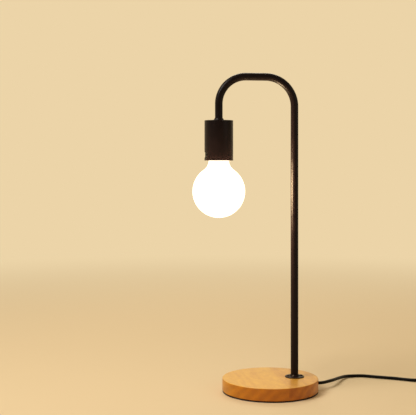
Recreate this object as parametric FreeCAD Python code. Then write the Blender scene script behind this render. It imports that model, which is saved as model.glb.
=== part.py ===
import FreeCAD, Part
import math
import os

# Desk lamp: a round wooden base, a bent tube post and a bulb that hangs from a metal cup.
# Millimetres, +Z up. The origin is the centre of the underside of the base, +X points from
# the base's centre to the post, and the arch of the post lies in the plane Y = 0.

Vector = FreeCAD.Vector
UP = Vector(0, 0, 1)
ALONG_X = Vector(1, 0, 0)
ALONG_Y = Vector(0, 1, 0)

# Base
base_diameter = 150.0
wood_thickness = 19.0
wood_top_round = 1.2
wood_bottom_chamfer = 0.8
pad_thickness = 2.2
pad_inset = 0.4

# Post, one bent tube
overall_height = 498.0
post_to_rim = 36.0
lamp_reach = 120.5
tube_diameter = 12.0
tube_wall = 1.5
post_bend_radius = 46.0
drop_bend_radius = 43.0
drop_length = 21.6
post_depth_in_wood = 4.2

# Flange at the foot of the post
flange_diameter = 30.0
flange_thickness = 1.5
foot_collar_diameter = 14.6
foot_collar_height = 2.3
flange_screw_spread = 21.0
flange_screw_diameter = 3.4
flange_screw_depth = 6.0
flange_screw_head_diameter = 5.8
flange_screw_head_height = 1.7

# Cord's way through the wood
cord_diameter = 5.0
exit_height = 10.1
channel_diameter = 8.0
chamber_diameter = 15.0
inner_bend_radius = 10.0
grommet_flange_diameter = 8.6
grommet_flange_thickness = 1.6
grommet_proud = 0.4
grommet_sleeve_length = 4.5
clamp_to_rim = 15.83
clamp_pocket_diameter = 20.0
clamp_length = 17.0
clamp_width = 7.0
clamp_thickness = 4.6
clamp_screw_spread = 11.6
clamp_screw_diameter = 2.6
clamp_screw_depth = 4.2
clamp_screw_head_diameter = 4.6
clamp_screw_head_height = 1.4

# Cup over the lampholder
cup_diameter = 44.6
cup_height = 62.5
cup_wall = 1.0
cup_top_thickness = 1.2
cup_top_round = 0.8
window_width = 20.0
window_height = 8.3
window_above_rim = 4.7
collar_height = 3.8
collar_rim_diameter = 16.3
collar_top_margin = 0.3
collar_rim_height = 0.6

# Threaded nipple that hangs the holder
nipple_diameter = 10.0
nipple_bore = 7.2
nipple_depth_in_tube = 9.5
nipple_length = 24.8
nut_across_flats = 14.0
nut_thickness = 3.0

# Lampholder
holder_diameter = 39.4
holder_wall = 2.2
holder_cap_diameter = 38.0
holder_cap_wall = 2.0
holder_boss_diameter = 17.0
holder_boss_height = 3.8
holder_boss_depth = 7.3
holder_dome_height = 12.0
holder_cap_skirt = 8.0
holder_rim_above_cup_rim = 2.5
spigot_height = 5.0
spigot_wall = 1.75
shelf_thickness = 1.6
shelf_bore = 29.2
catch_width = 6.0
catch_height = 3.5
catch_proud = 1.5
catch_above_rim = 4.5
insert_thickness = 7.9
insert_diameter = 30.0
shell_bore = 26.9
shell_wall = 0.35
shell_flange_bore = 16.0
contact_strip_width = 5.0
contact_strip_thickness = 0.4
terminal_screw_diameter = 2.8
terminal_screw_head_diameter = 5.0
terminal_screw_head_height = 1.8
centre_terminal_offset = -4.8
shell_terminal_offset = 11.0
core_wire_diameter = 2.2

# Globe bulb with a 27 mm screw cap
globe_diameter = 81.5
globe_centre_below_cup = 48.0
globe_wall = 0.9
neck_diameter = 31.0
neck_fillet = 19.0
bulb_cap_diameter = 26.3
bulb_cap_wall = 0.4
bulb_cap_height = 24.0
bulb_cap_above_cup_rim = 3.0
bulb_cap_shoulder = 2.5
insulator_height = 2.0
bulb_tip_height = 0.8
bulb_tip_diameter = 8.4
insulator_diameter = 17.6
contact_gap = 0.3
stem_diameter = 7.0
stem_length = 34.0
filament_diameter = 1.8
filament_length = 36.0
filament_count = 4
filament_ring_diameter = 18.0
filament_wire_diameter = 0.8

# Fits
fit_clearance = 0.05
loose_clearance = 0.1

# Inline switch on the cord
switch_start = Vector(278.0, 22.0, 0.0)
switch_body_length = 50.0
switch_width = 24.0
switch_neck_length = 6.0
switch_neck_diameter = 9.2
switch_neck_end_diameter = 7.0
switch_axis_height = 7.0
switch_height = 14.5
switch_corner_radius = 8.0
switch_edge_round = 2.0
switch_wall = 1.8
rocker_length = 18.6
rocker_width = 9.4
rocker_tilt = 10.0
rocker_pivot_below_top = 2.3
rocker_rise = 3.0
rocker_dip = 1.2
rocker_depth = 3.0
rocker_pin_diameter = 2.4
rocker_pin_length = 1.5
rocker_ear_thickness = 2.0
rocker_ear_length = 6.0
window_clearance = 0.7
switch_screw_diameter = 2.5
switch_screw_head_diameter = 4.6
switch_screw_head_height = 1.6
switch_screw_along = 20.0
switch_screw_across = 7.4
switch_post_diameter = 5.2
terminal_block_length = 8.0
terminal_block_width = 6.0
terminal_block_height = 3.6
terminal_block_spread = 26.0
blade_thickness = 0.5
blade_width = 4.0
blade_height = 3.0
cord_stub_length = 8.0

# Two-pin plug, its pins away from the coil
plug_start = Vector(413.1, -50.0, 0.0)
plug_relief_length = 20.0
plug_relief_diameter = 10.0
plug_relief_end_diameter = 6.4
plug_relief_ring_count = 5
plug_relief_groove = 0.6
plug_body_length = 36.0
plug_face_length = 9.0
plug_width = 35.3
plug_thickness = 13.7
plug_neck_width = 14.0
plug_neck_thickness = 11.6
plug_pin_diameter = 4.0
plug_pin_length = 19.0
plug_pin_spread = 18.6
plug_pin_bare_length = 9.0
plug_pin_core_diameter = 2.6
plug_pin_seat_depth = 8.0
plug_sleeve_diameter = 3.6
plug_pin_tip_round = 0.8

# Coil of the spare cord
coil_centre = Vector(373.5, -17.6, 0.0)
coil_outer_radius = 39.6
coil_pitch = 5.5
coil_turns = 7.25
coil_layer_step = 5.45
tie_thickness = 0.8
tie_width = 8.0
tie_clearance = 0.3
tie_angle = 225.0

# Routes of the free cord, chosen by hand. The heights are those of the cord's centre.
lead_route = [
    (75.4, 0.0, 10.1),
    (84.2, 0.0, 10.1),
    (93.3, 2.6, 10.1),
    (101.5, 8.1, 9.9),
    (108.0, 16.5, 9.2),
    (116.0, 32.0, 7.7),
    (125.2, 47.4, 5.6),
    (134.8, 60.0, 3.9),
    (145.4, 69.1, 2.9),
    (157.4, 73.0, 2.55),
    (169.8, 71.6, 2.5),
    (181.8, 65.2, 2.5),
    (198.0, 54.4, 2.5),
    (218.5, 42.3, 2.5),
    (236.0, 29.4, 2.5),
    (252.5, 22.8, 3.3),
    (268.0, 22.0, 7.0),
    (278.0, 22.0, 7.0),
]
run_route = [
    (340.0, 22.0, 7.0),
    (345.8, 22.0, 7.0),
    (351.4, 22.0, 6.1),
    (356.8, 22.0, 4.3),
    (362.4, 22.0, 3.35),
    (368.5, 22.0, 3.35),
]
tail_route = [
    (413.1, -22.6, 8.8),
    (413.1, -29.6, 8.8),
    (413.1, -41.0, 6.85),
    (413.1, -50.0, 6.85),
]

# Heights and places that follow from the sizes above
wood_top = pad_thickness + wood_thickness
post_end = wood_top - post_depth_in_wood
tube_radius = tube_diameter / 2
tube_bore_radius = tube_radius - tube_wall
arch_height = overall_height - tube_radius
post_offset = base_diameter / 2 - post_to_rim
drop_x = post_offset - lamp_reach
cup_collar_top = arch_height - drop_bend_radius - drop_length
cup_top = cup_collar_top - collar_height
cup_rim = cup_top - cup_height
cord_radius = cord_diameter / 2
flange_top = wood_top + flange_thickness


def outline(points):
    """Closed face in the XZ plane. A point of two numbers ends a line, one of four ends an arc
    that passes its first two."""
    corners = [Vector(p[-2], 0, p[-1]) for p in points]
    edges = []
    for i in range(len(points)):
        point = points[(i + 1) % len(points)]
        start = corners[i]
        end = corners[(i + 1) % len(points)]
        if len(point) == 4:
            edges.append(Part.Arc(start, Vector(point[0], 0, point[1]), end).toShape())
        else:
            edges.append(Part.LineSegment(start, end).toShape())
    return Part.Face(Part.Wire(edges))


def lathe(points, x=0.0):
    """Solid of revolution about a vertical axis at the given X, from radii and heights."""
    solid = outline(points).revolve(Vector(0, 0, 0), UP, 360)
    solid.translate(Vector(x, 0, 0))
    return solid


def crown(radius, low, top):
    """Arc of a round dome that starts at a radius and a height and ends on the axis."""
    sphere = (radius**2 + (top - low) ** 2) / (2 * (top - low))
    return radius / 2, top - sphere + math.sqrt(sphere**2 - radius**2 / 4), 0, top


def rod(radius, start, length, direction=UP):
    return Part.makeCylinder(radius, length, start, direction)


def block(low, high):
    size = high - low
    return Part.makeBox(size.x, size.y, size.z, low)


def arc_through_corner(before, corner, after, reach):
    """Arc that rounds a corner between two straight runs, and its radius."""
    back = (before - corner).normalize()
    ahead = (after - corner).normalize()
    half_turn = (math.pi - back.getAngle(ahead)) / 2
    radius = reach / math.tan(half_turn)
    inward = (back + ahead).normalize()
    middle = corner + inward * (radius / math.cos(half_turn) - radius)
    arc = Part.Arc(corner + back * reach, middle, corner + ahead * reach)
    return arc.toShape(), radius


def cord_path(route):
    """Straight runs joined by tangent arcs, each as large as its two runs allow."""
    points = [Vector(*p) for p in route]
    edges = []
    radii = []
    here = points[0]
    for i in range(1, len(points) - 1):
        before = (points[i] - points[i - 1]).Length
        after = (points[i + 1] - points[i]).Length
        arc, radius = arc_through_corner(
            points[i - 1], points[i], points[i + 1], 0.45 * min(before, after)
        )
        start = arc.valueAt(arc.FirstParameter)
        edges.append(Part.LineSegment(here, start).toShape())
        edges.append(arc)
        radii.append(radius)
        here = arc.valueAt(arc.LastParameter)
    edges.append(Part.LineSegment(here, points[-1]).toShape())
    return Part.Wire(edges), radii


def pipe(path, radius):
    first = path.OrderedEdges[0]
    start = first.valueAt(first.FirstParameter)
    tangent = first.tangentAt(first.FirstParameter)
    section = Part.Wire(Part.Circle(start, tangent, radius).toShape())
    return path.makePipeShell([section], True, False)


def free_cord(name, route):
    path, radii = cord_path(route)
    solid = pipe(path, cord_radius)
    share = solid.Volume / (math.pi * cord_radius**2 * path.Length)
    print(name, "length", round(path.Length, 1), "tightest bend", round(min(radii), 1))
    print(name, "bends", [round(r, 1) for r in radii])
    print(name, "volume over section times length", round(share, 4))
    return solid


def write(name, *solids):
    shape = solids[0] if len(solids) == 1 else Part.makeCompound(list(solids))
    shape.exportStep("parts/" + name + ".step")
    print(name, len(shape.Solids), "solids", round(shape.Volume, 1), "mm3")


# Cord's way out of the base: a straight hole from the chamber under the post to the rim
channel_start = Vector(post_offset, 0, exit_height)
grommet_face = Vector(base_diameter / 2 + grommet_proud, 0, exit_height)
grommet_seat = grommet_face - ALONG_X * grommet_flange_thickness
clamp_centre = Vector(base_diameter / 2 - clamp_to_rim, 0, exit_height)
clamp_ceiling = exit_height + cord_radius + loose_clearance
clamp_screw_places = [
    clamp_centre + ALONG_Y * (side * clamp_screw_spread / 2) for side in (-1, 1)
]
flange_screw_places = [
    Vector(post_offset + side * flange_screw_spread / 2, 0, 0) for side in (-1, 1)
]


def wood_base():
    """Turned disc with the post's hole, a chamber below it and the cord's hole to the rim."""
    radius = base_diameter / 2
    disc = lathe([
        (0, pad_thickness),
        (radius - wood_bottom_chamfer, pad_thickness),
        (radius, pad_thickness + wood_bottom_chamfer),
        (radius, wood_top - wood_top_round),
        (
            radius - wood_top_round * (1 - math.sqrt(0.5)),
            wood_top - wood_top_round * (1 - math.sqrt(0.5)),
            radius - wood_top_round,
            wood_top,
        ),
        (0, wood_top),
    ])
    post_hole = rod(tube_radius + loose_clearance, Vector(post_offset, 0, post_end), wood_top - post_end)
    chamber = rod(chamber_diameter / 2, Vector(post_offset, 0, pad_thickness), post_end - pad_thickness)
    channel = rod(channel_diameter / 2, channel_start, base_diameter, ALONG_X)
    grommet_recess = rod(
        grommet_flange_diameter / 2 + loose_clearance, grommet_seat, base_diameter, ALONG_X
    )
    clamp_pocket = rod(
        clamp_pocket_diameter / 2,
        Vector(clamp_centre.x, clamp_centre.y, pad_thickness),
        clamp_ceiling - pad_thickness,
    )
    cuts = [post_hole, chamber, channel, grommet_recess, clamp_pocket]
    for place in flange_screw_places:
        bottom = Vector(place.x, place.y, wood_top - flange_screw_depth)
        cuts.append(rod(flange_screw_diameter / 2 + fit_clearance, bottom, flange_screw_depth))
    for place in clamp_screw_places:
        bottom = Vector(place.x, place.y, clamp_ceiling)
        cuts.append(rod(clamp_screw_diameter / 2 + fit_clearance, bottom, clamp_screw_depth))
    return disc.cut(cuts)


def base_pad():
    return rod(base_diameter / 2 - pad_inset, Vector(0, 0, 0), pad_thickness)


def base_flange():
    """Round plate with a short welded collar round the foot of the post."""
    bore = tube_radius + fit_clearance
    outer = flange_diameter / 2
    collar = foot_collar_diameter / 2
    edge = 0.4 * flange_thickness
    plate = lathe(
        [
            (bore, wood_top),
            (outer, wood_top),
            (outer, flange_top - edge),
            (outer - edge, flange_top),
            (collar, flange_top),
            (collar, flange_top + foot_collar_height / 2),
            (bore + 0.3, flange_top + foot_collar_height),
            (bore, flange_top + foot_collar_height),
        ],
        post_offset,
    )
    holes = [
        rod(
            flange_screw_diameter / 2 + loose_clearance,
            Vector(place.x, place.y, wood_top),
            flange_thickness,
        )
        for place in flange_screw_places
    ]
    return plate.cut(holes)


def round_head_screw(head_radius, head_height, shank_radius, shank_length):
    """Screw that points down, with the underside of its domed head at the origin."""
    tip = min(shank_radius, shank_length / 3)
    return lathe([
        (0, -shank_length),
        (shank_radius, tip - shank_length),
        (shank_radius, 0),
        (head_radius, 0),
        (head_radius, 0.3 * head_height),
        crown(head_radius, 0.3 * head_height, head_height),
    ])


def flange_screws():
    screws = []
    for place in flange_screw_places:
        screw = round_head_screw(
            flange_screw_head_diameter / 2,
            flange_screw_head_height,
            flange_screw_diameter / 2,
            flange_thickness + flange_screw_depth,
        )
        screw.translate(Vector(place.x, place.y, flange_top))
        screws.append(screw)
    return screws


def cord_grommet():
    """Bush that lines the cord's hole at the rim, with its flange let into the wood."""
    flange = rod(grommet_flange_diameter / 2, grommet_seat, grommet_flange_thickness, ALONG_X)
    sleeve_start = grommet_seat - ALONG_X * grommet_sleeve_length
    sleeve = rod(
        channel_diameter / 2 - fit_clearance, sleeve_start, grommet_sleeve_length, ALONG_X
    )
    bore = rod(
        cord_radius + fit_clearance,
        sleeve_start - ALONG_X,
        grommet_sleeve_length + grommet_flange_thickness + 2,
        ALONG_X,
    )
    return flange.fuse(sleeve).cut(bore).removeSplitter()


def cord_clamp():
    """Bar that presses the cord up against the wood, with a round groove for it."""
    top = exit_height + 0.3 * cord_radius
    bar = block(
        Vector(-clamp_width / 2, -clamp_length / 2, top - clamp_thickness),
        Vector(clamp_width / 2, clamp_length / 2, top),
    )
    upright = [e for e in bar.Edges if abs(e.tangentAt(e.FirstParameter).z) > 0.9]
    bar = bar.makeFillet(clamp_width / 4, upright)
    bar.translate(Vector(clamp_centre.x, clamp_centre.y, 0))
    groove = rod(
        cord_radius + fit_clearance,
        clamp_centre - ALONG_X * clamp_width,
        2 * clamp_width,
        ALONG_X,
    )
    cuts = [groove]
    for place in clamp_screw_places:
        bottom = Vector(place.x, place.y, top - clamp_thickness)
        cuts.append(rod(clamp_screw_diameter / 2 + loose_clearance, bottom, clamp_thickness))
    return bar.cut(cuts)


def clamp_screws():
    bar_bottom = exit_height + 0.3 * cord_radius - clamp_thickness
    screws = []
    for place in clamp_screw_places:
        screw = round_head_screw(
            clamp_screw_head_diameter / 2,
            clamp_screw_head_height,
            clamp_screw_diameter / 2,
            clamp_ceiling - bar_bottom + clamp_screw_depth,
        )
        screw.rotate(Vector(0, 0, 0), ALONG_X, 180)
        screw.translate(Vector(place.x, place.y, bar_bottom))
        screws.append(screw)
    return screws


def arch_edges(start_height, end_height):
    """Centre line of the post from its foot, over the arch and down to the cup."""
    post_bend_start = Vector(post_offset, 0, arch_height - post_bend_radius)
    post_bend_end = Vector(post_offset - post_bend_radius, 0, arch_height)
    drop_bend_start = Vector(drop_x + drop_bend_radius, 0, arch_height)
    drop_bend_end = Vector(drop_x, 0, arch_height - drop_bend_radius)
    diagonal = math.sqrt(0.5)
    post_middle = Vector(
        post_offset - post_bend_radius * (1 - diagonal),
        0,
        arch_height - post_bend_radius * (1 - diagonal),
    )
    drop_middle = Vector(
        drop_x + drop_bend_radius * (1 - diagonal),
        0,
        arch_height - drop_bend_radius * (1 - diagonal),
    )
    return [
        Part.LineSegment(Vector(post_offset, 0, start_height), post_bend_start).toShape(),
        Part.Arc(post_bend_start, post_middle, post_bend_end).toShape(),
        Part.LineSegment(post_bend_end, drop_bend_start).toShape(),
        Part.Arc(drop_bend_start, drop_middle, drop_bend_end).toShape(),
        Part.LineSegment(drop_bend_end, Vector(drop_x, 0, end_height)).toShape(),
    ]


def lamp_tube():
    """The bent tube. Its lower end on the lamp side is opened out for the nipple."""
    path = Part.Wire(arch_edges(post_end, cup_collar_top))
    tube = pipe(path, tube_radius).cut(pipe(path, tube_bore_radius))
    socket = rod(
        nipple_diameter / 2 + fit_clearance,
        Vector(drop_x, 0, cup_collar_top),
        nipple_depth_in_tube,
    )
    return tube.cut(socket)


def inner_cord():
    """Cord inside the lamp, from the grommet through the clamp and the tube to the holder."""
    bend_start = channel_start + ALONG_X * inner_bend_radius
    bend_end = channel_start + UP * inner_bend_radius
    bend_centre = bend_start + UP * inner_bend_radius
    bend_middle = bend_centre - (ALONG_X + UP) * (inner_bend_radius * math.sqrt(0.5))
    edges = [
        Part.LineSegment(grommet_face, bend_start).toShape(),
        Part.Arc(bend_start, bend_middle, bend_end).toShape(),
    ]
    path = Part.Wire(edges + arch_edges(bend_end.z, inner_cord_end))
    return pipe(path, cord_radius)


# Heights inside the cup, from the top down
nipple_top = cup_collar_top + nipple_depth_in_tube
nipple_bottom = nipple_top - nipple_length
nut_top = cup_top - cup_top_thickness
holder_top = nut_top - nut_thickness
inner_cord_end = nipple_bottom - 1.5
dome_top = holder_top - holder_boss_height
dome_bottom = dome_top - holder_dome_height
holder_joint = dome_bottom - holder_cap_skirt
holder_rim = cup_rim + holder_rim_above_cup_rim
insert_top = holder_joint + spigot_height
insert_bottom = insert_top - insert_thickness
shelf_bottom = insert_bottom - shelf_thickness
shell_radius = shell_bore / 2


def cup_collar():
    """Flared ring between the tube and the cup."""
    rim = collar_rim_diameter / 2
    top = tube_radius + collar_top_margin
    flare_start = cup_top + collar_rim_height
    return lathe(
        [
            (nipple_diameter / 2 + fit_clearance, cup_top),
            (rim, cup_top),
            (rim, flare_start),
            (
                top + 0.28 * (rim - top),
                flare_start + 0.38 * (cup_collar_top - flare_start),
                top,
                cup_collar_top,
            ),
            (nipple_diameter / 2 + fit_clearance, cup_collar_top),
        ],
        drop_x,
    )


def socket_cup():
    """Pressed cup, open below, with a window near its rim for the holder's catch."""
    outer = cup_diameter / 2
    inner = outer - cup_wall
    cup = lathe(
        [
            (nipple_diameter / 2 + fit_clearance, nut_top),
            (inner, nut_top),
            (inner, cup_rim),
            (outer, cup_rim),
            (outer, cup_top - cup_top_round),
            (
                outer - cup_top_round * (1 - math.sqrt(0.5)),
                cup_top - cup_top_round * (1 - math.sqrt(0.5)),
                outer - cup_top_round,
                cup_top,
            ),
            (nipple_diameter / 2 + fit_clearance, cup_top),
        ],
        drop_x,
    )
    window = block(
        Vector(drop_x - cup_diameter, -window_width / 2, cup_rim + window_above_rim),
        Vector(drop_x, window_width / 2, cup_rim + window_above_rim + window_height),
    )
    return cup.cut(window)


def holder_nipple():
    return rod(nipple_diameter / 2, Vector(drop_x, 0, nipple_bottom), nipple_length).cut(
        rod(nipple_bore / 2, Vector(drop_x, 0, nipple_bottom), nipple_length)
    )


def holder_nut():
    corner = nut_across_flats / math.sqrt(3)
    corners = [
        Vector(corner * math.cos(math.radians(a)), corner * math.sin(math.radians(a)), 0)
        for a in range(0, 361, 60)
    ]
    nut = Part.Face(Part.makePolygon(corners)).extrude(UP * nut_thickness)
    nut.translate(Vector(drop_x, 0, holder_top))
    return nut.cut(
        rod(nipple_diameter / 2 + fit_clearance, Vector(drop_x, 0, holder_top), nut_thickness)
    )


def holder_cap():
    """Domed upper half of the lampholder, screwed on the nipple."""
    bore = nipple_diameter / 2 + fit_clearance
    boss = holder_boss_diameter / 2
    outer = holder_cap_diameter / 2
    inner = outer - holder_cap_wall
    boss_bottom = holder_top - holder_boss_depth
    bulge = 0.72
    return lathe(
        [
            (bore, holder_top),
            (bore, boss_bottom),
            (boss - 1, boss_bottom),
            (
                boss + bulge * (inner - boss) - 0.6,
                dome_bottom + bulge * (boss_bottom - dome_bottom) - 0.6,
                inner,
                dome_bottom,
            ),
            (inner, holder_joint),
            (outer, holder_joint),
            (outer, dome_bottom),
            (
                boss + bulge * (outer - boss),
                dome_bottom + bulge * (dome_top - dome_bottom),
                boss,
                dome_top,
            ),
            (boss, holder_top),
        ],
        drop_x,
    )


def holder_skirt():
    """Lower half of the lampholder: a sleeve with a shelf for the insert and a catch."""
    outer = holder_diameter / 2
    inner = outer - holder_wall
    spigot_outer = holder_cap_diameter / 2 - holder_cap_wall - fit_clearance
    spigot_inner = spigot_outer - spigot_wall
    skirt = lathe(
        [
            (outer, holder_rim),
            (outer, holder_joint),
            (spigot_outer, holder_joint),
            (spigot_outer, insert_top),
            (spigot_inner, insert_top),
            (spigot_inner, insert_bottom),
            (shelf_bore / 2, insert_bottom),
            (shelf_bore / 2, shelf_bottom),
            (inner, shelf_bottom),
            (inner, holder_rim),
        ],
        drop_x,
    )
    catch_bottom = holder_rim + catch_above_rim
    catch = outline([
        (-inner - 0.5, catch_bottom),
        (-outer - catch_proud, catch_bottom + 0.3 * catch_height),
        (-outer - catch_proud, catch_bottom + 0.7 * catch_height),
        (-inner - 0.5, catch_bottom + catch_height),
    ]).extrude(ALONG_Y * catch_width)
    catch.translate(Vector(drop_x, -catch_width / 2, 0))
    return skirt.fuse(catch)


def terminal_places():
    return [Vector(drop_x + x, 0, 0) for x in (centre_terminal_offset, shell_terminal_offset)]


def holder_insert():
    """Ceramic disc that carries the contacts."""
    disc = rod(insert_diameter / 2, Vector(drop_x, 0, insert_bottom), insert_thickness)
    holes = [
        rod(
            terminal_screw_diameter / 2 + fit_clearance,
            Vector(place.x, 0, insert_bottom),
            insert_thickness,
        )
        for place in terminal_places()
    ]
    return disc.cut(holes)


def screw_shell():
    """Pressed sleeve for the bulb's cap, with a flange held under the insert."""
    outer = shell_radius + shell_wall
    shell = lathe(
        [
            (shell_radius, holder_rim + holder_wall),
            (outer, holder_rim + holder_wall),
            (outer, insert_bottom),
            (shell_flange_bore / 2, insert_bottom),
            (shell_flange_bore / 2, insert_bottom - shell_wall),
            (shell_radius, insert_bottom - shell_wall),
        ],
        drop_x,
    )
    hole = rod(
        terminal_screw_diameter / 2 + fit_clearance,
        Vector(drop_x + shell_terminal_offset, 0, insert_bottom - shell_wall),
        shell_wall,
    )
    return shell.cut(hole)


def centre_contact():
    """Sprung strip under the insert that presses on the tip of the bulb."""
    thick = contact_strip_thickness
    top = insert_bottom
    low = insulator_top + bulb_tip_height + contact_gap
    strip = outline([
        (centre_terminal_offset - 2.4, top),
        (centre_terminal_offset + 2.4, top),
        (-0.6, low + thick),
        (2.6, low + thick),
        (2.6, low),
        (-0.8, low),
        (centre_terminal_offset + 2.2, top - thick),
        (centre_terminal_offset - 2.4, top - thick),
    ]).extrude(ALONG_Y * contact_strip_width)
    strip.translate(Vector(drop_x, -contact_strip_width / 2, 0))
    hole = rod(
        terminal_screw_diameter / 2 + fit_clearance,
        Vector(drop_x + centre_terminal_offset, 0, top - 1),
        1,
    )
    return strip.cut(hole)


def terminal_screws():
    screws = []
    for place in terminal_places():
        screw = round_head_screw(
            terminal_screw_head_diameter / 2,
            terminal_screw_head_height,
            terminal_screw_diameter / 2,
            insert_thickness + shell_wall,
        )
        screw.translate(Vector(place.x, 0, insert_top))
        screws.append(screw)
    return screws


def core_wires():
    """The cord's two insulated cores, from its end to the two terminals."""
    radius = core_wire_diameter / 2
    wires = []
    for side, place in zip((-1, 1), terminal_places(), strict=True):
        beside = terminal_screw_head_diameter / 2 + radius + fit_clearance
        start_x = drop_x + side * (radius + fit_clearance)
        floor = insert_top + radius + fit_clearance
        route = [
            (start_x, 0, inner_cord_end),
            (start_x, 0, inner_cord_end - 3.0),
            (place.x - side * 1.0, -side * beside, floor + 3.0),
            (place.x, -side * beside, floor),
            (place.x + side * 1.8, -side * beside, floor),
        ]
        path, radii = cord_path(route)
        wires.append(pipe(path, radius))
    return wires


# Bulb
cap_bottom = cup_rim + bulb_cap_above_cup_rim
cap_top = cap_bottom + bulb_cap_height
insulator_top = cap_top + insulator_height
globe_centre = cup_rim - globe_centre_below_cup
globe_radius = globe_diameter / 2
neck_radius = neck_diameter / 2
cap_inner_radius = bulb_cap_diameter / 2 - bulb_cap_wall
glass_end_radius = cap_inner_radius - loose_clearance
glass_end = cap_bottom + 3.0


def globe_profile(skin):
    """Points of the globe's outline, offset inwards by the skin: bottom, sphere, neck."""
    sphere = globe_radius - skin
    fillet = neck_fillet + skin
    neck = neck_radius - skin
    centre_r = neck + fillet
    centre_z = globe_centre + math.sqrt((sphere + fillet) ** 2 - centre_r**2)
    reach = sphere + fillet
    touch = (centre_r * sphere / reach, globe_centre + (centre_z - globe_centre) * sphere / reach)
    side = (sphere * math.cos(0.1), globe_centre - sphere * math.sin(0.1))
    lean = math.atan2(centre_z - touch[1], centre_r - touch[0]) / 2
    fillet_middle = (centre_r - fillet * math.cos(lean), centre_z - fillet * math.sin(lean))
    return side, touch, fillet_middle, (neck, centre_z), sphere


def bulb_globe():
    """Thin glass globe with a short neck that goes into the cap."""
    side, touch, middle, neck, sphere = globe_profile(0.0)
    in_side, in_touch, in_middle, in_neck, in_sphere = globe_profile(globe_wall)
    shoulder = (neck[0], cap_bottom - 2.2)
    in_shoulder = (in_neck[0], cap_bottom - 2.2)
    return lathe(
        [
            (0, globe_centre - sphere),
            (*side, *touch),
            (*middle, *neck),
            shoulder,
            (glass_end_radius, cap_bottom - loose_clearance),
            (glass_end_radius, glass_end),
            (glass_end_radius - globe_wall, glass_end),
            (glass_end_radius - globe_wall, cap_bottom),
            in_shoulder,
            in_neck,
            (*in_middle, *in_touch),
            (*in_side, 0, globe_centre - in_sphere),
        ],
        drop_x,
    )


def bulb_cap():
    """Metal screw cap."""
    outer = bulb_cap_diameter / 2
    inner = cap_inner_radius
    seat = insulator_diameter / 2
    return lathe(
        [
            (inner, cap_bottom),
            (outer, cap_bottom),
            (outer, cap_top - bulb_cap_shoulder),
            (seat, cap_top),
            (seat - bulb_cap_wall, cap_top - bulb_cap_wall),
            (inner, cap_top - bulb_cap_shoulder - bulb_cap_wall),
        ],
        drop_x,
    )


def bulb_insulator():
    """Black glass button between the cap and the tip."""
    seat = insulator_diameter / 2 - bulb_cap_wall - fit_clearance
    return lathe(
        [
            (0, cap_top - 1.2),
            (seat, cap_top - 1.2),
            (seat, cap_top),
            (bulb_tip_diameter / 2 + 0.4, insulator_top),
            (0, insulator_top),
        ],
        drop_x,
    )


def bulb_tip():
    radius = bulb_tip_diameter / 2
    return lathe(
        [
            (0, insulator_top),
            (radius, insulator_top),
            crown(radius, insulator_top, insulator_top + bulb_tip_height),
        ],
        drop_x,
    )


def bulb_stem():
    """Glass stem inside the neck, flared where it joins the glass, with a round button below."""
    radius = stem_diameter / 2
    flare = glass_end_radius - globe_wall - fit_clearance
    top = glass_end
    bottom = top - stem_length
    return lathe(
        [
            (0, top - 1.2),
            (flare - 0.5, top),
            (flare, top),
            (flare, top - 1.4),
            (radius, top - 9.0),
            (radius, bottom + radius),
            (radius * math.sqrt(0.5), bottom + radius * (1 - math.sqrt(0.5)), 0, bottom),
        ],
        drop_x,
    )


def led_filaments():
    """Glowing sticks round the stem's axis, held by wires from a rod below the stem."""
    ring = filament_ring_diameter / 2
    wire = filament_wire_diameter / 2
    stem_bottom = glass_end - stem_length
    top = stem_bottom + 1.0
    bottom = top - filament_length
    group = rod(wire, Vector(drop_x, 0, bottom), stem_bottom - bottom)
    for i in range(filament_count):
        angle = 2 * math.pi * (i + 0.5) / filament_count
        out = Vector(math.cos(angle), math.sin(angle), 0)
        foot = Vector(drop_x, 0, bottom) + out * ring
        stick = rod(filament_diameter / 2, foot, filament_length)
        spoke = rod(wire, Vector(drop_x, 0, bottom + 2 * wire), ring, out)
        hanger = rod(wire, Vector(drop_x, 0, stem_bottom - 2 * wire), ring, out)
        group = group.fuse([stick, spoke, hanger])
    return group.removeSplitter()


# Inline switch. Its own frame has X along the cord from the end nearer the lamp.
switch_length = switch_body_length + 2 * switch_neck_length
switch_middle = switch_length / 2
rocker_pivot = Vector(switch_middle, 0, switch_height - rocker_pivot_below_top)
rocker_window_length = rocker_length + 2 * window_clearance + 0.4
rocker_window_width = rocker_width + 2 * (window_clearance - 0.4)


def rounded_slab(length, width, corner, low, high):
    """Upright slab with rounded corners, centred on the switch."""
    slab = block(
        Vector(switch_middle - length / 2, -width / 2, low),
        Vector(switch_middle + length / 2, width / 2, high),
    )
    upright = [e for e in slab.Edges if abs(e.tangentAt(e.FirstParameter).z) > 0.9]
    return slab.makeFillet(corner, upright)


def switch_outside():
    """Outer form of the switch: a rounded body with a tapered neck at each end."""
    body = rounded_slab(switch_body_length, switch_width, switch_corner_radius, 0, switch_height)
    flat = [
        e
        for e in body.Edges
        if e.BoundBox.ZLength < 0.01 and (e.BoundBox.ZMin > switch_height - 0.01)
    ]
    body = body.makeFillet(switch_edge_round, flat)
    neck = Part.makeCone(
        switch_neck_end_diameter / 2,
        switch_neck_diameter / 2,
        switch_neck_length,
        Vector(0, 0, switch_axis_height),
        ALONG_X,
    )
    root = rod(
        switch_neck_diameter / 2,
        Vector(switch_neck_length, 0, switch_axis_height),
        switch_wall,
        ALONG_X,
    )
    solids = [neck, root]
    for solid in (neck, root):
        far = solid.copy()
        far.rotate(Vector(switch_middle, 0, 0), UP, 180)
        solids.append(far)
    return body.fuse(solids).removeSplitter()


def switch_screw_places():
    return [
        Vector(switch_middle + side * switch_screw_along, side * switch_screw_across, 0)
        for side in (-1, 1)
    ]


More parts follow.
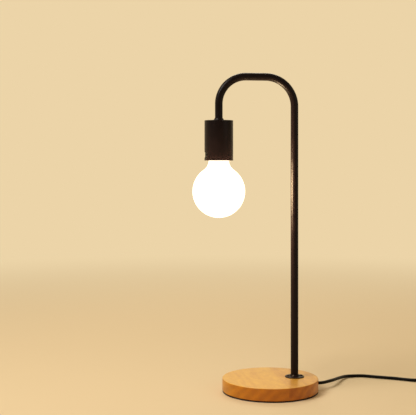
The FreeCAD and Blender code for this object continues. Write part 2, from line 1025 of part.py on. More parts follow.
def switch_shells():
    """Lower and upper covers, split at the cord's axis, hollow, with posts for the screws."""
    outside = switch_outside()
    cavity = rounded_slab(
        switch_body_length - 2 * switch_wall,
        switch_width - 2 * switch_wall,
        switch_corner_radius - switch_wall,
        switch_wall,
        switch_height - switch_wall,
    )
    cord_hole = rod(
        cord_radius + fit_clearance, Vector(-1, 0, switch_axis_height), switch_length + 2, ALONG_X
    )
    posts = [
        rod(
            switch_post_diameter / 2,
            Vector(place.x, place.y, switch_wall),
            switch_height - 2 * switch_wall,
        )
        for place in switch_screw_places()
    ]
    hollow = cavity.cut(posts)
    body = outside.cut([hollow, cord_hole])
    split = block(
        Vector(-1, -switch_width, switch_axis_height),
        Vector(switch_length + 1, switch_width, switch_height + 1),
    )
    lower = body.cut(split)
    upper = body.common(split)
    for place in switch_screw_places():
        head = rod(switch_screw_head_diameter / 2 + loose_clearance, place, switch_screw_head_height)
        through = rod(switch_screw_diameter / 2 + loose_clearance, place, switch_axis_height)
        pilot = rod(
            switch_screw_diameter / 2 + fit_clearance,
            Vector(place.x, place.y, switch_axis_height),
            switch_axis_height - switch_wall - 1,
        )
        lower = lower.cut([head, through])
        upper = upper.cut(pilot)
    upper = upper.cut(rocker_window()).fuse(rocker_ears()).removeSplitter()
    return lower, upper.cut(rocker_pin_hole())


def rocker_window():
    return block(
        Vector(switch_middle - rocker_window_length / 2, -rocker_window_width / 2, switch_axis_height),
        Vector(switch_middle + rocker_window_length / 2, rocker_window_width / 2, switch_height + 1),
    )


def rocker_pin_hole():
    reach = rocker_width / 2 + rocker_pin_length + loose_clearance
    radius = rocker_pin_diameter / 2 + fit_clearance
    return rod(radius, rocker_pivot - ALONG_Y * reach, 2 * reach, ALONG_Y)


def rocker_ears():
    """Two lugs under the top of the switch that hold the rocker's pins."""
    inner = rocker_window_width / 2
    bottom = rocker_pivot.z - rocker_pin_diameter / 2 - 1.2
    ears = []
    for low, high in ((-inner - rocker_ear_thickness, -inner), (inner, inner + rocker_ear_thickness)):
        ears.append(
            block(
                Vector(switch_middle - rocker_ear_length / 2, low, bottom),
                Vector(switch_middle + rocker_ear_length / 2, high, switch_height - switch_wall),
            )
        )
    return ears


def switch_rocker():
    """Rocker with a shallow valley on top, resting with its end nearer the lamp pressed."""
    half = rocker_length / 2
    body = outline([
        (0, rocker_rise - rocker_dip, -half, rocker_rise),
        (-half, -0.5 * rocker_depth),
        (-half / 2, -rocker_depth),
        (half / 2, -rocker_depth),
        (half, -0.5 * rocker_depth),
        (half, rocker_rise),
    ])
    body = body.extrude(ALONG_Y * rocker_width)
    body.translate(Vector(0, -rocker_width / 2, 0))
    pin_reach = rocker_width / 2 + rocker_pin_length
    pins = rod(rocker_pin_diameter / 2, ALONG_Y * -pin_reach, 2 * pin_reach, ALONG_Y)
    rocker = body.fuse(pins)
    rocker.rotate(Vector(0, 0, 0), ALONG_Y, -rocker_tilt)
    rocker.translate(rocker_pivot)
    return rocker


def switch_contacts():
    """Two brass terminal blocks, each with a blade that stands up towards the rocker."""
    blocks = []
    for side in (-1, 1):
        centre = switch_middle + side * terminal_block_spread / 2
        base = block(
            Vector(centre - terminal_block_length / 2, -terminal_block_width / 2, switch_wall),
            Vector(
                centre + terminal_block_length / 2,
                terminal_block_width / 2,
                switch_wall + terminal_block_height,
            ),
        )
        inner = centre - side * terminal_block_length / 2
        low = min(inner, inner + side * blade_thickness)
        blade = block(
            Vector(low, -blade_width / 2, switch_wall + terminal_block_height),
            Vector(
                low + blade_thickness,
                blade_width / 2,
                switch_wall + terminal_block_height + blade_height,
            ),
        )
        blocks.append(base.fuse(blade).removeSplitter())
    return blocks


def switch_screws():
    screws = []
    for place in switch_screw_places():
        length = 2 * switch_axis_height - switch_wall - 1.5 - switch_screw_head_height
        screw = lathe([
            (0, 0),
            (switch_screw_head_diameter / 2, 0),
            (switch_screw_head_diameter / 2, switch_screw_head_height),
            (switch_screw_diameter / 2, switch_screw_head_height),
            (switch_screw_diameter / 2, switch_screw_head_height + length),
            (0, switch_screw_head_height + length),
        ])
        screw.translate(place)
        screws.append(screw)
    return screws


def switch_cord_ends():
    """The cord's ends inside the switch, each with a bared core lying on its terminal."""
    core_radius = 0.9
    block_top = switch_wall + terminal_block_height
    ends = []
    for side in (-1, 1):
        outer = switch_middle + side * switch_length / 2
        inner = outer - side * (switch_neck_length + cord_stub_length)
        sheath = rod(
            cord_radius,
            Vector(min(outer, inner), 0, switch_axis_height),
            abs(outer - inner),
            ALONG_X,
        )
        terminal = switch_middle + side * terminal_block_spread / 2
        core_end = terminal + side * 1.0
        core = rod(
            core_radius,
            Vector(min(inner, core_end), 0, block_top + core_radius + fit_clearance),
            abs(inner - core_end),
            ALONG_X,
        )
        ends.append(sheath.fuse(core).removeSplitter())
    return ends


def place_switch(solids):
    for solid in solids:
        solid.translate(switch_start)
    return solids


# Plug. Its own frame has Y along the cord towards the pins.
def plug_section(width, thickness, y):
    """Rounded outline across the plug."""
    radius = 0.45 * thickness
    face = block(
        Vector(-width / 2, y, -thickness / 2), Vector(width / 2, y + 1, thickness / 2)
    )
    along = [e for e in face.Edges if abs(e.tangentAt(e.FirstParameter).y) > 0.9]
    solid = face.makeFillet(radius, along)
    sides = [f for f in solid.Faces if f.BoundBox.YMax < y + 0.01]
    return sides[0].OuterWire


def plug_body():
    """Moulded body that widens to the pins, with a ribbed relief round the cord."""
    start = plug_relief_length
    waist = start + 0.55 * (plug_body_length - plug_face_length)
    shoulder = start + plug_body_length - plug_face_length
    waist_width = 0.62 * plug_width
    sections = [
        plug_section(plug_neck_width, plug_neck_thickness, start),
        plug_section(waist_width, 0.5 * (plug_neck_thickness + plug_thickness), waist),
        plug_section(plug_width, plug_thickness, shoulder),
    ]
    taper = Part.makeLoft(sections, True, True)
    face = Part.Face(sections[-1]).extrude(ALONG_Y * plug_face_length)
    ring_length = plug_relief_length / plug_relief_ring_count
    slope = (plug_relief_diameter - plug_relief_end_diameter) / 2 / plug_relief_length
    profile = [(0, 0)]
    for i in range(plug_relief_ring_count):
        low = i * ring_length
        high = low + 0.7 * ring_length
        profile.append((plug_relief_end_diameter / 2 + slope * low, low))
        profile.append((plug_relief_end_diameter / 2 + slope * high, high))
        profile.append((plug_relief_end_diameter / 2 + slope * high - plug_relief_groove, high))
        profile.append((
            plug_relief_end_diameter / 2 + slope * high - plug_relief_groove,
            low + ring_length,
        ))
    profile.append((0, plug_relief_length))
    relief = lathe(profile)
    relief.rotate(Vector(0, 0, 0), ALONG_X, -90)
    body = taper.fuse([face, relief]).removeSplitter()
    face_y = plug_relief_length + plug_body_length
    seats = [
        rod(
            plug_pin_core_diameter / 2 + fit_clearance,
            Vector(x, face_y - plug_pin_seat_depth, 0),
            plug_pin_seat_depth,
            ALONG_Y,
        )
        for x in plug_pin_places()
    ]
    return body.cut(seats)


def plug_pin_places():
    return [-plug_pin_spread / 2, plug_pin_spread / 2]


def plug_pins():
    """Round pins, thinner under their sleeves."""
    sleeve_length = plug_pin_length - plug_pin_bare_length
    pins = []
    for x in plug_pin_places():
        pin = lathe([
            (0, -plug_pin_seat_depth),
            (plug_pin_core_diameter / 2, -plug_pin_seat_depth),
            (plug_pin_core_diameter / 2, sleeve_length),
            (plug_pin_diameter / 2, sleeve_length),
            (plug_pin_diameter / 2, plug_pin_length - plug_pin_tip_round),
            (plug_pin_diameter / 2 - plug_pin_tip_round, plug_pin_length),
            (0, plug_pin_length),
        ])
        pin.rotate(Vector(0, 0, 0), ALONG_X, -90)
        pin.translate(Vector(x, plug_relief_length + plug_body_length, 0))
        pins.append(pin)
    return pins


def pin_sleeves():
    sleeve_length = plug_pin_length - plug_pin_bare_length
    face_y = plug_relief_length + plug_body_length
    sleeves = []
    for x in plug_pin_places():
        outer = rod(plug_sleeve_diameter / 2, Vector(x, face_y, 0), sleeve_length, ALONG_Y)
        bore = rod(
            plug_pin_core_diameter / 2 + fit_clearance, Vector(x, face_y, 0), sleeve_length, ALONG_Y
        )
        sleeves.append(outer.cut(bore))
    return sleeves


def place_plug(solids):
    for solid in solids:
        solid.rotate(Vector(0, 0, 0), UP, 180)
        solid.translate(plug_start + UP * plug_thickness / 2)
    return solids


# Coil: the spiral goes in on the lower layer and out again on the upper one
coil_start_angle = 90.0
coil_low = cord_radius + tie_thickness + fit_clearance
half_turns = coil_turns / 2


def coil_place(turn):
    """Radius and height of the cord's centre after a number of turns from the outside."""
    from_middle = abs(turn - half_turns)
    reverse = 0.25
    if from_middle >= reverse:
        radius = coil_outer_radius - coil_pitch * (half_turns - from_middle)
    else:
        inside = coil_outer_radius - coil_pitch * (half_turns - reverse / 2)
        radius = inside + coil_pitch * from_middle**2 / (2 * reverse)
    climb = min(1.0, max(0.0, (turn - half_turns + reverse) / (2 * reverse)))
    height = coil_low + coil_layer_step * climb * climb * (3 - 2 * climb)
    return radius, height


def coil_point(turn):
    radius, height = coil_place(turn)
    angle = math.radians(coil_start_angle) - 2 * math.pi * turn
    return coil_centre + Vector(radius * math.cos(angle), radius * math.sin(angle), height)


def coil_direction(turn):
    step = 1e-4
    return (coil_point(turn + step) - coil_point(turn - step)).normalize()


def arc_from_tangent(start, corner, end):
    """Arc between two points whose tangents meet at the corner, at equal lengths."""
    arc, radius = arc_through_corner(start, corner, end, (start - corner).Length)
    return arc, radius


def biarc(start, start_direction, end, end_direction):
    """Two arcs that leave one point and reach the other along the given directions."""
    across = end - start
    both = start_direction + end_direction
    spread = 2 * (1 - start_direction.dot(end_direction))
    push = across.dot(both)
    reach = (math.sqrt(push * push + spread * across.dot(across)) - push) / spread
    first_corner = start + start_direction * reach
    last_corner = end - end_direction * reach
    joint = (first_corner + last_corner) * 0.5
    first, first_radius = arc_from_tangent(start, first_corner, joint)
    last, last_radius = arc_from_tangent(joint, last_corner, end)
    return [first, last], min(first_radius, last_radius)


def coil_path():
    """One unbroken line: a straight end, biarcs of a quarter turn, and a straight end."""
    start = coil_point(0)
    end = coil_point(coil_turns)
    edges = [Part.LineSegment(start - ALONG_X * cord_diameter, start).toShape()]
    tightest = coil_outer_radius
    directions = [ALONG_X]
    steps = round(4 * coil_turns)
    for i in range(1, steps):
        directions.append(coil_direction(i / 4))
    directions.append(-ALONG_Y)
    for i in range(steps):
        pair, radius = biarc(
            coil_point(i / 4), directions[i], coil_point((i + 1) / 4), directions[i + 1]
        )
        edges.extend(pair)
        tightest = min(tightest, radius)
    edges.append(Part.LineSegment(end, end - ALONG_Y * cord_diameter).toShape())
    return Part.Wire(edges), tightest


def least_gap(path):
    """Least clear distance between the turns, measured on points along the line."""
    count = 1500
    points = path.discretize(Number=count)
    spacing = path.Length / (count - 1)
    skip = int(math.pi * 10 * cord_diameter / 4 / spacing)
    nearest = min(
        points[i].distanceToPoint(points[j])
        for i in range(0, count, 3)
        for j in range(i + skip, count, 3)
    )
    return nearest - cord_diameter


def cord_coil():
    path, tightest = coil_path()
    solid = pipe(path, cord_radius)
    share = solid.Volume / (math.pi * cord_radius**2 * path.Length)
    print("cord_coil length", round(path.Length, 1), "tightest bend", round(tightest, 1))
    print("cord_coil least gap to itself", round(least_gap(path), 2))
    print("cord_coil volume over section times length", round(share, 4))
    return solid


def coil_tie():
    """Flat band round all the turns at one place of the ring."""
    back = (coil_start_angle - tie_angle) % 360 / 360
    radii = [coil_place(turn + back)[0] for turn in range(math.ceil(coil_turns - back))]
    inner = math.sqrt(min(radii) ** 2 - (tie_width / 2) ** 2) - cord_radius - tie_clearance
    outer = max(radii) + cord_radius + tie_clearance
    low = tie_thickness
    high = coil_low + coil_layer_step + cord_radius + tie_clearance
    hole = block(Vector(inner, -tie_width, low), Vector(outer, tie_width, high))
    band = block(
        Vector(inner - tie_thickness, -tie_width / 2, low - tie_thickness),
        Vector(outer + tie_thickness, tie_width / 2, high + tie_thickness),
    )
    hole = round_long_edges(hole, cord_radius)
    band = round_long_edges(band, cord_radius + tie_thickness)
    tie = band.cut(hole)
    tie.rotate(Vector(0, 0, 0), UP, tie_angle)
    tie.translate(coil_centre)
    return tie


def round_long_edges(solid, radius):
    along = [e for e in solid.Edges if abs(e.tangentAt(e.FirstParameter).y) > 0.9]
    return solid.makeFillet(radius, along)


def build():
    write("wood_base", wood_base())
    write("base_pad", base_pad())
    write("base_flange", base_flange())
    write("flange_screws", *flange_screws())
    write("cord_grommet", cord_grommet())
    write("cord_clamp", cord_clamp())
    write("clamp_screws", *clamp_screws())
    write("lamp_tube", lamp_tube())
    write("inner_cord", inner_cord())
    write("cup_collar", cup_collar())
    write("socket_cup", socket_cup())
    write("holder_nipple", holder_nipple())
    write("holder_nut", holder_nut())
    write("holder_cap", holder_cap())
    write("holder_skirt", holder_skirt())
    write("holder_insert", holder_insert())
    write("screw_shell", screw_shell())
    write("centre_contact", centre_contact())
    write("terminal_screws", *terminal_screws())
    write("core_wires", *core_wires())
    write("bulb_globe", bulb_globe())
    write("bulb_cap", bulb_cap())
    write("bulb_insulator", bulb_insulator())
    write("bulb_tip", bulb_tip())
    write("bulb_stem", bulb_stem())
    write("led_filaments", led_filaments())
    lower, upper = place_switch(list(switch_shells()))
    write("switch_lower_cover", lower)
    write("switch_upper_cover", upper)
    write("switch_rocker", *place_switch([switch_rocker()]))
    write("switch_contacts", *place_switch(switch_contacts()))
    write("switch_screws", *place_switch(switch_screws()))
    write("switch_cord_ends", *place_switch(switch_cord_ends()))
    write("plug_body", *place_plug([plug_body()]))
    write("plug_pins", *place_plug(plug_pins()))
    write("pin_sleeves", *place_plug(pin_sleeves()))
    write("cord_lead", free_cord("cord_lead", lead_route))
    write("cord_run", free_cord("cord_run", run_route))
    write("cord_coil", cord_coil())
    write("cord_tail", free_cord("cord_tail", tail_route))
    write("coil_tie", coil_tie())


os.makedirs("parts", exist_ok=True)
build()
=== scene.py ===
import bmesh
import bpy
import math
from functools import partial
from mathutils import Matrix, Vector


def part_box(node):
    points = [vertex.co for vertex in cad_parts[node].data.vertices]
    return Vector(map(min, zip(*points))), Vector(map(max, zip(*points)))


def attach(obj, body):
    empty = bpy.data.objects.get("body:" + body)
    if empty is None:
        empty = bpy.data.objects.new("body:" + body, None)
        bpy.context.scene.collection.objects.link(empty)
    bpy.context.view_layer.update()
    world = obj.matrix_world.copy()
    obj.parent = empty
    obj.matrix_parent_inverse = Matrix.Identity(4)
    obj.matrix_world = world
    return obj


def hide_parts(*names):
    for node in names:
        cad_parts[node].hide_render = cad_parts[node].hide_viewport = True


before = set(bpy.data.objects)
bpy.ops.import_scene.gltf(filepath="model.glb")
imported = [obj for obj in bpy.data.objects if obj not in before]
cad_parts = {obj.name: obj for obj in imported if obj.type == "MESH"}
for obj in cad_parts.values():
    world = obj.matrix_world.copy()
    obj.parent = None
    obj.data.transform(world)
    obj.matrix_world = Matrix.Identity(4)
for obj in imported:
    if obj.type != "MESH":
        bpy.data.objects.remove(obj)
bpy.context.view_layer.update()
scene = bpy.context.scene
scene.view_settings.view_transform = "Standard"
mm = 0.001
turn = 2 * math.pi
meshLimits = {"double": 0.002, "sliver": 0.001, "sharpAngle": 32}  # lengths in mm
finish = {}  # every material by its name
print("frame loaded:", len(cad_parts), "nodes")


# small helpers

def srgb(code):
    # sRGB hex to the linear values that the shaders work in
    parts = [int(code[i:i + 2], 16) / 255 for i in (1, 3, 5)]
    return (*[c / 12.92 if c < 0.04045 else ((c + 0.055) / 1.055) ** 2.4 for c in parts], 1.0)


def addNode(tree, kind, inputs=None, **settings):
    # a node given as an input stands for its first output, and a list is linked one by one
    node = tree.nodes.new(kind)
    for name, value in settings.items():
        setattr(node, name, value)
    for name, given in (inputs or {}).items():
        for value in given if isinstance(given, list) else [given]:
            if isinstance(value, bpy.types.Node):
                value = value.outputs[0]
            if isinstance(value, bpy.types.NodeSocket):
                tree.links.new(value, node.inputs[name])
            else:
                node.inputs[name].default_value = value
    return node


def emptyTree(owner):
    # a material's or world's own tree, emptied, and what adds nodes to it
    owner.node_tree.nodes.clear()
    return partial(addNode, owner.node_tree)


def startMaterial(name):
    finish[name] = bpy.data.materials.new(name)
    finish[name].use_nodes = True
    add = emptyTree(finish[name])
    return add, add("ShaderNodeTexCoord").outputs["Object"]


def endMaterial(add, inputs):
    shader = add("ShaderNodeBsdfPrincipled", inputs)
    add("ShaderNodeOutputMaterial", {"Surface": shader})


def startTree(name, sizes):
    # geometry tree with a named input for its material and one for each size
    tree = bpy.data.node_groups.new(name, "GeometryNodeTree")
    for label, kind in {"Geometry": "Geometry", "Material": "Material", **sizes}.items():
        tree.interface.new_socket(label, in_out="INPUT", socket_type="NodeSocket" + kind)
    tree.interface.new_socket("Geometry", in_out="OUTPUT", socket_type="NodeSocketGeometry")
    add = partial(addNode, tree)
    return tree, add, add("NodeGroupInput").outputs


def endTree(add, size, geometry):
    real = add("GeometryNodeRealizeInstances", {"Geometry": geometry})
    painted = add("GeometryNodeSetMaterial", {"Geometry": real, "Material": size["Material"]})
    add("NodeGroupOutput", {0: painted})


def addObject(name, data):
    obj = bpy.data.objects.new(name, data)
    scene.collection.objects.link(obj)
    return obj


def addMesh(name, points=(), faces=(), edges=()):
    # points in mm, mesh in metres
    mesh = bpy.data.meshes.new(name)
    mesh.from_pydata([Vector(p) * mm for p in points], edges, faces)
    return addObject(name, mesh)


def bake(obj):
    # every modifier turned into plain mesh, in an object of the same name
    name = obj.name
    graph = bpy.context.evaluated_depsgraph_get()
    mesh = bpy.data.meshes.new_from_object(obj.evaluated_get(graph))
    bpy.data.objects.remove(obj)
    return addObject(name, mesh)


def growPiece(obj, tree, look, sizes):
    # sizes in mm, put in by socket identifier before the tree is first evaluated
    grown = obj.modifiers.new(tree.name, "NODES")
    grown.node_group = tree
    values = {**sizes, "Material": finish[look]}
    for socket in tree.interface.items_tree:
        if socket.in_out == "INPUT" and socket.name in values:
            value = values[socket.name]
            if socket.socket_type == "NodeSocketFloat":
                value = value * mm
            elif socket.socket_type == "NodeSocketVector":
                value = Vector(value) * mm
            grown[socket.identifier] = value
    return bake(obj)


def tidyMesh(obj):
    # doubles merged, then every face turned outwards
    bm = bmesh.new()
    bm.from_mesh(obj.data)
    bmesh.ops.remove_doubles(bm, verts=bm.verts, dist=meshLimits["double"] * mm)
    bmesh.ops.dissolve_degenerate(bm, edges=bm.edges, dist=meshLimits["sliver"] * mm)
    bmesh.ops.recalc_face_normals(bm, faces=bm.faces)
    bm.to_mesh(obj.data)
    bm.free()
    return obj


def smooth(obj):
    # smooth shading, with edges kept where the faces turn sharply
    for face in obj.data.polygons:
        face.use_smooth = True
    obj.data.set_sharp_from_angle(angle=math.radians(meshLimits["sharpAngle"]))
    return obj


def cut(obj, *tools):
    for tool in tools:
        hole = obj.modifiers.new(tool.name, "BOOLEAN")
        hole.operation = "DIFFERENCE"
        hole.solver = "EXACT"
        hole.object = tool
    plain = bake(obj)
    for tool in tools:
        bpy.data.objects.remove(tool)
    return smooth(plain)


def paint(obj, look):
    obj.data.materials.clear()
    obj.data.materials.append(finish[look])


def finishPiece(obj, look, slot, *nodes, body="lamp"):
    # its finish, the CAD nodes that it stands for, and the body that it rides on; slot is not used
    paint(obj, look)
    if nodes:
        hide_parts(*nodes)
    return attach(obj, body)


def spanOf(label, pair):
    # both sockets of a range
    return {label + " Min": pair[0], label + " Max": pair[1]}


def ease(share):
    # from 0 to 1, slow at both ends
    share = min(1, max(0, share))
    return share * share * (3 - 2 * share)


def cornersOf(name):
    # lowest and highest corner of a CAD node, in mm
    low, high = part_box(name)
    return low / mm, high / mm


def arcPoints(centre, radius, start, end, count=8):
    # (radius, height) points of an arc, with its angles in degrees
    angles = [math.radians(start + (end - start) * i / count) for i in range(count + 1)]
    return [(centre[0] + radius * math.cos(a), centre[1] + radius * math.sin(a)) for a in angles]


def roundCorner(corner, radius, start, end, count=8):
    # arc in place of a sharp corner, from one angle to the other
    middle = math.radians((start + end) / 2)
    x = corner[0] - math.copysign(radius, math.cos(middle))
    z = corner[1] - math.copysign(radius, math.sin(middle))
    return arcPoints((x, z), radius, start, end, count)


def roundedOutline(low, high, radius, count):
    # rectangle with rounded corners, from its upper right corner on
    corners = ((high[0], high[1]), (low[0], high[1]), (low[0], low[1]), (high[0], low[1]))
    outline = []
    for i, corner in enumerate(corners):
        outline += roundCorner(corner, radius, 90 * i, 90 * i + 90, count)
    return outline


def lathe(name, profile, axis=(0, 0), segments=128, thread=None):
    # closed outline of (radius, height) points, turned about an upright axis
    points = []
    for i in range(segments):
        angle = turn * i / segments
        for radius, height in profile:
            r = radius + (threadRise(thread, height, angle) if thread else 0)
            points.append((axis[0] + r * math.cos(angle), axis[1] + r * math.sin(angle), height))
    count = len(profile)
    faces = []
    for i in range(segments):
        here = i * count
        there = (i + 1) % segments * count
        for j in range(count):
            k = (j + 1) % count
            faces.append((here + j, there + j, there + k, here + k))
    return smooth(tidyMesh(addMesh(name, points, faces)))


def threadRise(thread, height, angle):
    # right-handed rolled thread that fades out at both ends
    inside = min(height - thread["low"], thread["high"] - height) / thread["fade"]
    fade = min(1, max(0, inside))
    return thread["depth"] * fade * math.cos(turn * height / thread["pitch"] - angle)


def rod(name, centre, axis, radius, length):
    # round cutter
    bm = bmesh.new()
    bmesh.ops.create_cone(
        bm, cap_ends=True, segments=64, radius1=radius * mm, radius2=radius * mm, depth=length * mm,
    )
    lean = Vector((0, 0, 1)).rotation_difference(Vector(axis)).to_matrix().to_4x4()
    bm.transform(Matrix.Translation(Vector(centre) * mm) @ lean)
    obj = addMesh(name)
    bm.to_mesh(obj.data)
    bm.free()
    return obj


def layDown(obj, axis, place):
    # turned a quarter about an axis, then put in its place
    lay = Matrix.Rotation(math.pi / 2, 4, axis)
    obj.data.transform(Matrix.Translation(Vector(place) * mm) @ lay)
    return obj


def skin(name, rings, closeEnds=True):
    # rings of as many points each, joined one to the next
    count = len(rings[0])
    last = (len(rings) - 1) * count
    faces = []
    for here in range(0, last, count):
        for j in range(count):
            k = (j + 1) % count
            faces.append((here + j, here + k, here + count + k, here + count + j))
    if closeEnds:
        faces += [tuple(range(count)), tuple(range(last, last + count))]
    return tidyMesh(addMesh(name, [p for ring in rings for p in ring], faces))


# places that the frame gives, in mm

baseLow, baseHigh = cornersOf("wood_base")
padLow, padHigh = cornersOf("base_pad")
flangeLow, flangeHigh = cornersOf("base_flange")
tubeLow, tubeHigh = cornersOf("lamp_tube")
collarLow, collarHigh = cornersOf("cup_collar")
cupLow, cupHigh = cornersOf("socket_cup")
globeLow, globeHigh = cornersOf("bulb_globe")
capLow, capHigh = cornersOf("bulb_cap")
baseRadius = (baseHigh.x - baseLow.x) / 2
tubeRadius = 6.0
postX = tubeHigh.x - tubeRadius
dropX = (cupLow.x + cupHigh.x) / 2
archHeight = tubeHigh.z - tubeRadius
bulbAxis = (dropX, 0)
globeRadius = (globeHigh.y - globeLow.y) / 2
globeMiddle = globeLow.z + globeRadius


# camera and light

cameraSetup = {
    "lens": 84.2, "sensor": 36, "near": 0.05, "shiftY": -0.1202, "turn": -8.53,
    "place": (-0.3223733, -1.4926949, 0.36585),
}


def makeCamera():
    c = cameraSetup
    camera = addObject("camera", bpy.data.cameras.new("camera"))
    camera.data.lens = c["lens"]
    camera.data.sensor_width = c["sensor"]
    camera.data.shift_y = c["shiftY"]
    camera.data.clip_start = c["near"]
    camera.location = c["place"]
    camera.rotation_euler = (math.pi / 2, 0, math.radians(c["turn"]))
    scene.camera = camera


studioLamps = {  # place, aim and size in metres, power in watts
    "key": {"place": (-1.2, -0.5, 1.6), "aim": (-0.02, 0, 0.15), "size": 1.0, "power": 23},
    "fill": {"place": (1.3, -1.2, 0.9), "aim": (0, 0, 0.2), "size": 1.2, "power": 2.5},
    "back": {"place": (0.2, 1.3, 1.4), "aim": (0, 0, 0.25), "size": 1.0, "power": 8},
}
studioRoom = {  # the floor's lengths in mm
    "lampColour": "#fffaf3", "paper": "#ecd5ac", "roughness": 0.9, "sky": "#ecd4a8",
    "skyLight": 0.4, "front": 0.3, "frontSpan": (-0.3, 0.4), "radius": 6000, "sides": 96,
    "near": 400, "far": 2200,
}


def makeLamps():
    for name, lamp in studioLamps.items():
        light = bpy.data.lights.new(name, "AREA")
        light.shape = "DISK"
        light.size = lamp["size"]
        light.energy = lamp["power"]
        light.color = srgb(studioRoom["lampColour"])[:3]
        obj = addObject(name, light)
        obj.location = lamp["place"]
        aim = Vector(lamp["aim"]) - Vector(lamp["place"])
        obj.rotation_euler = aim.to_track_quat("-Z", "Y").to_euler()


def raysOf(add, *kinds):
    # 1 for rays of these kinds, else 0
    path = add("ShaderNodeLightPath").outputs
    share = path[kinds[0]]
    for kind in kinds[1:]:
        share = add("ShaderNodeMath", {0: share, 1: path[kind]}, operation="MAXIMUM")
    return share


def makeSky():
    # plain all round for the camera, dimmer in front of the lamp for what mirrors it
    room = studioRoom
    world = bpy.data.worlds.new("studio")
    scene.world = world
    world.use_nodes = True
    add = emptyTree(world)
    looking = add("ShaderNodeTexCoord").outputs["Generated"]
    apart = add("ShaderNodeSeparateXYZ", {0: looking})
    mirrored = add("ShaderNodeMapRange", {
        "Value": apart.outputs[1], **spanOf("From", room["frontSpan"]), "To Min": room["front"],
    })
    soft = add("ShaderNodeMapRange", {
        "Value": raysOf(add, "Is Camera Ray", "Is Transmission Ray"), "To Min": room["skyLight"],
    })
    strength = add("ShaderNodeMix", {
        "Factor": raysOf(add, "Is Glossy Ray"), 2: soft, 3: mirrored,
    }, data_type="FLOAT")
    sky = add("ShaderNodeBackground", {"Color": srgb(room["sky"]), "Strength": strength})
    add("ShaderNodeOutputWorld", {0: sky})


def makeFloor():
    # pale paper that keeps the shadow near the lamp and turns into the sky's colour far away
    room = studioRoom
    add, place = startMaterial("studioPaper")
    paper = add("ShaderNodeBsdfPrincipled", {
        "Base Color": srgb(room["paper"]), "Roughness": room["roughness"],
    })
    sky = add("ShaderNodeEmission", {"Color": srgb(room["sky"])})
    away = add("ShaderNodeVectorMath", {0: place}, operation="LENGTH")
    fade = add("ShaderNodeMapRange", {
        "Value": away.outputs["Value"], "From Min": room["near"] * mm, "From Max": room["far"] * mm,
    }, interpolation_type="SMOOTHSTEP")
    seen = raysOf(add, "Is Camera Ray", "Is Glossy Ray", "Is Transmission Ray")
    share = add("ShaderNodeMath", {0: fade, 1: seen}, operation="MULTIPLY")
    both = add("ShaderNodeMixShader", {0: share, 1: paper, 2: sky})
    add("ShaderNodeOutputMaterial", {0: both})
    sides = room["sides"]
    rim = arcPoints((0, 0), room["radius"], 0, 360 - 360 / sides, sides - 1)
    floor = addMesh("floor", [(x, y, 0) for x, y in rim], [tuple(range(sides))])
    paint(floor, "studioPaper")


makeCamera()
makeLamps()
makeSky()
makeFloor()
print("camera, lamps and floor made")


# finishes that are an even skin with a fine grain; grain and bump depth in mm

evenFinishes = {
    # powder-coated steel: thick dull skin, a soft wide highlight; its orange peel of about 0.3 mm
    # is drawn at 1.6 mm so that it shows
    "powderCoatedSteel": {
        "dark": "#0f0709", "light": "#170d0e", "grain": 1.6, "depth": 0.0015,
        "roughness": (0.32, 0.4), "shader": {"Specular IOR Level": 0.14}},
    # spark-eroded moulded plastic: even satin black with a tiny grain
    "mouldedPlastic": {
        "dark": "#0e0b0a", "light": "#161210", "grain": 0.35, "depth": 0.012,
        "roughness": (0.42, 0.55), "shader": {"Specular IOR Level": 0.25}},
    # extruded PVC sheath of the cord: soft sheen with faint drawing marks
    "extrudedPvc": {
        "dark": "#060403", "light": "#0c0908", "grain": 1.2, "depth": 0.01,
        "roughness": (0.44, 0.54), "shader": {"Specular IOR Level": 0.12}},
    # blackened screw steel: a thin oxide that lets brown through on the domes
    "blackOxideSteel": {
        "dark": "#1d1412", "light": "#33241e", "grain": 0.3, "depth": 0.008,
        "roughness": (0.26, 0.38), "shader": {"Metallic": 0.85}},
    # bright zinc plate: cool silver, a little cloudy
    "zincPlatedSteel": {
        "dark": "#9fa3a6", "light": "#c3c6c7", "grain": 1.0, "depth": 0.006,
        "roughness": (0.25, 0.38), "shader": {"Metallic": 1.0}},
    # nickel over brass: warm bright metal with a soft polish
    "nickelPlatedBrass": {
        "dark": "#aeacaa", "light": "#cccac6", "grain": 0.7, "depth": 0.004,
        "roughness": (0.16, 0.24), "shader": {"Metallic": 1.0}},
    # sprung brass strip: yellow, satin
    "rolledBrass": {
        "dark": "#b8944a", "light": "#d3b066", "grain": 0.6, "depth": 0.005,
        "roughness": (0.25, 0.35), "shader": {"Metallic": 1.0}},
    # black glass pressed hot round the bulb's contact: deep and shiny
    "pressedBlackGlass": {
        "dark": "#0b0a10", "light": "#15141c", "grain": 2.0, "depth": 0.01,
        "roughness": (0.06, 0.12), "shader": {"IOR": 1.7}},
    # tin solder: bright, frozen in soft waves
    "tinSolder": {
        "dark": "#a9abac", "light": "#cfd1d2", "grain": 1.6, "depth": 0.05,
        "roughness": (0.2, 0.4), "shader": {"Metallic": 1.0}},
    # phosphor on the LED filaments: yellow silicone
    "phosphorSilicone": {
        "dark": "#e0b43c", "light": "#efcb5c", "grain": 0.6, "depth": 0.02,
        "roughness": (0.4, 0.55), "shader": {"IOR": 1.41}},
    # rubber strap of the coil: dull and slightly dusty
    "strapRubber": {
        "dark": "#151313", "light": "#221f1e", "grain": 0.6, "depth": 0.02,
        "roughness": (0.6, 0.75), "shader": {"IOR": 1.52}},
}
evenShared = {"cloud": 18, "cloudSpan": (0.3, 0.7), "grainShare": 0.5, "stops": (0.45, 1.0)}


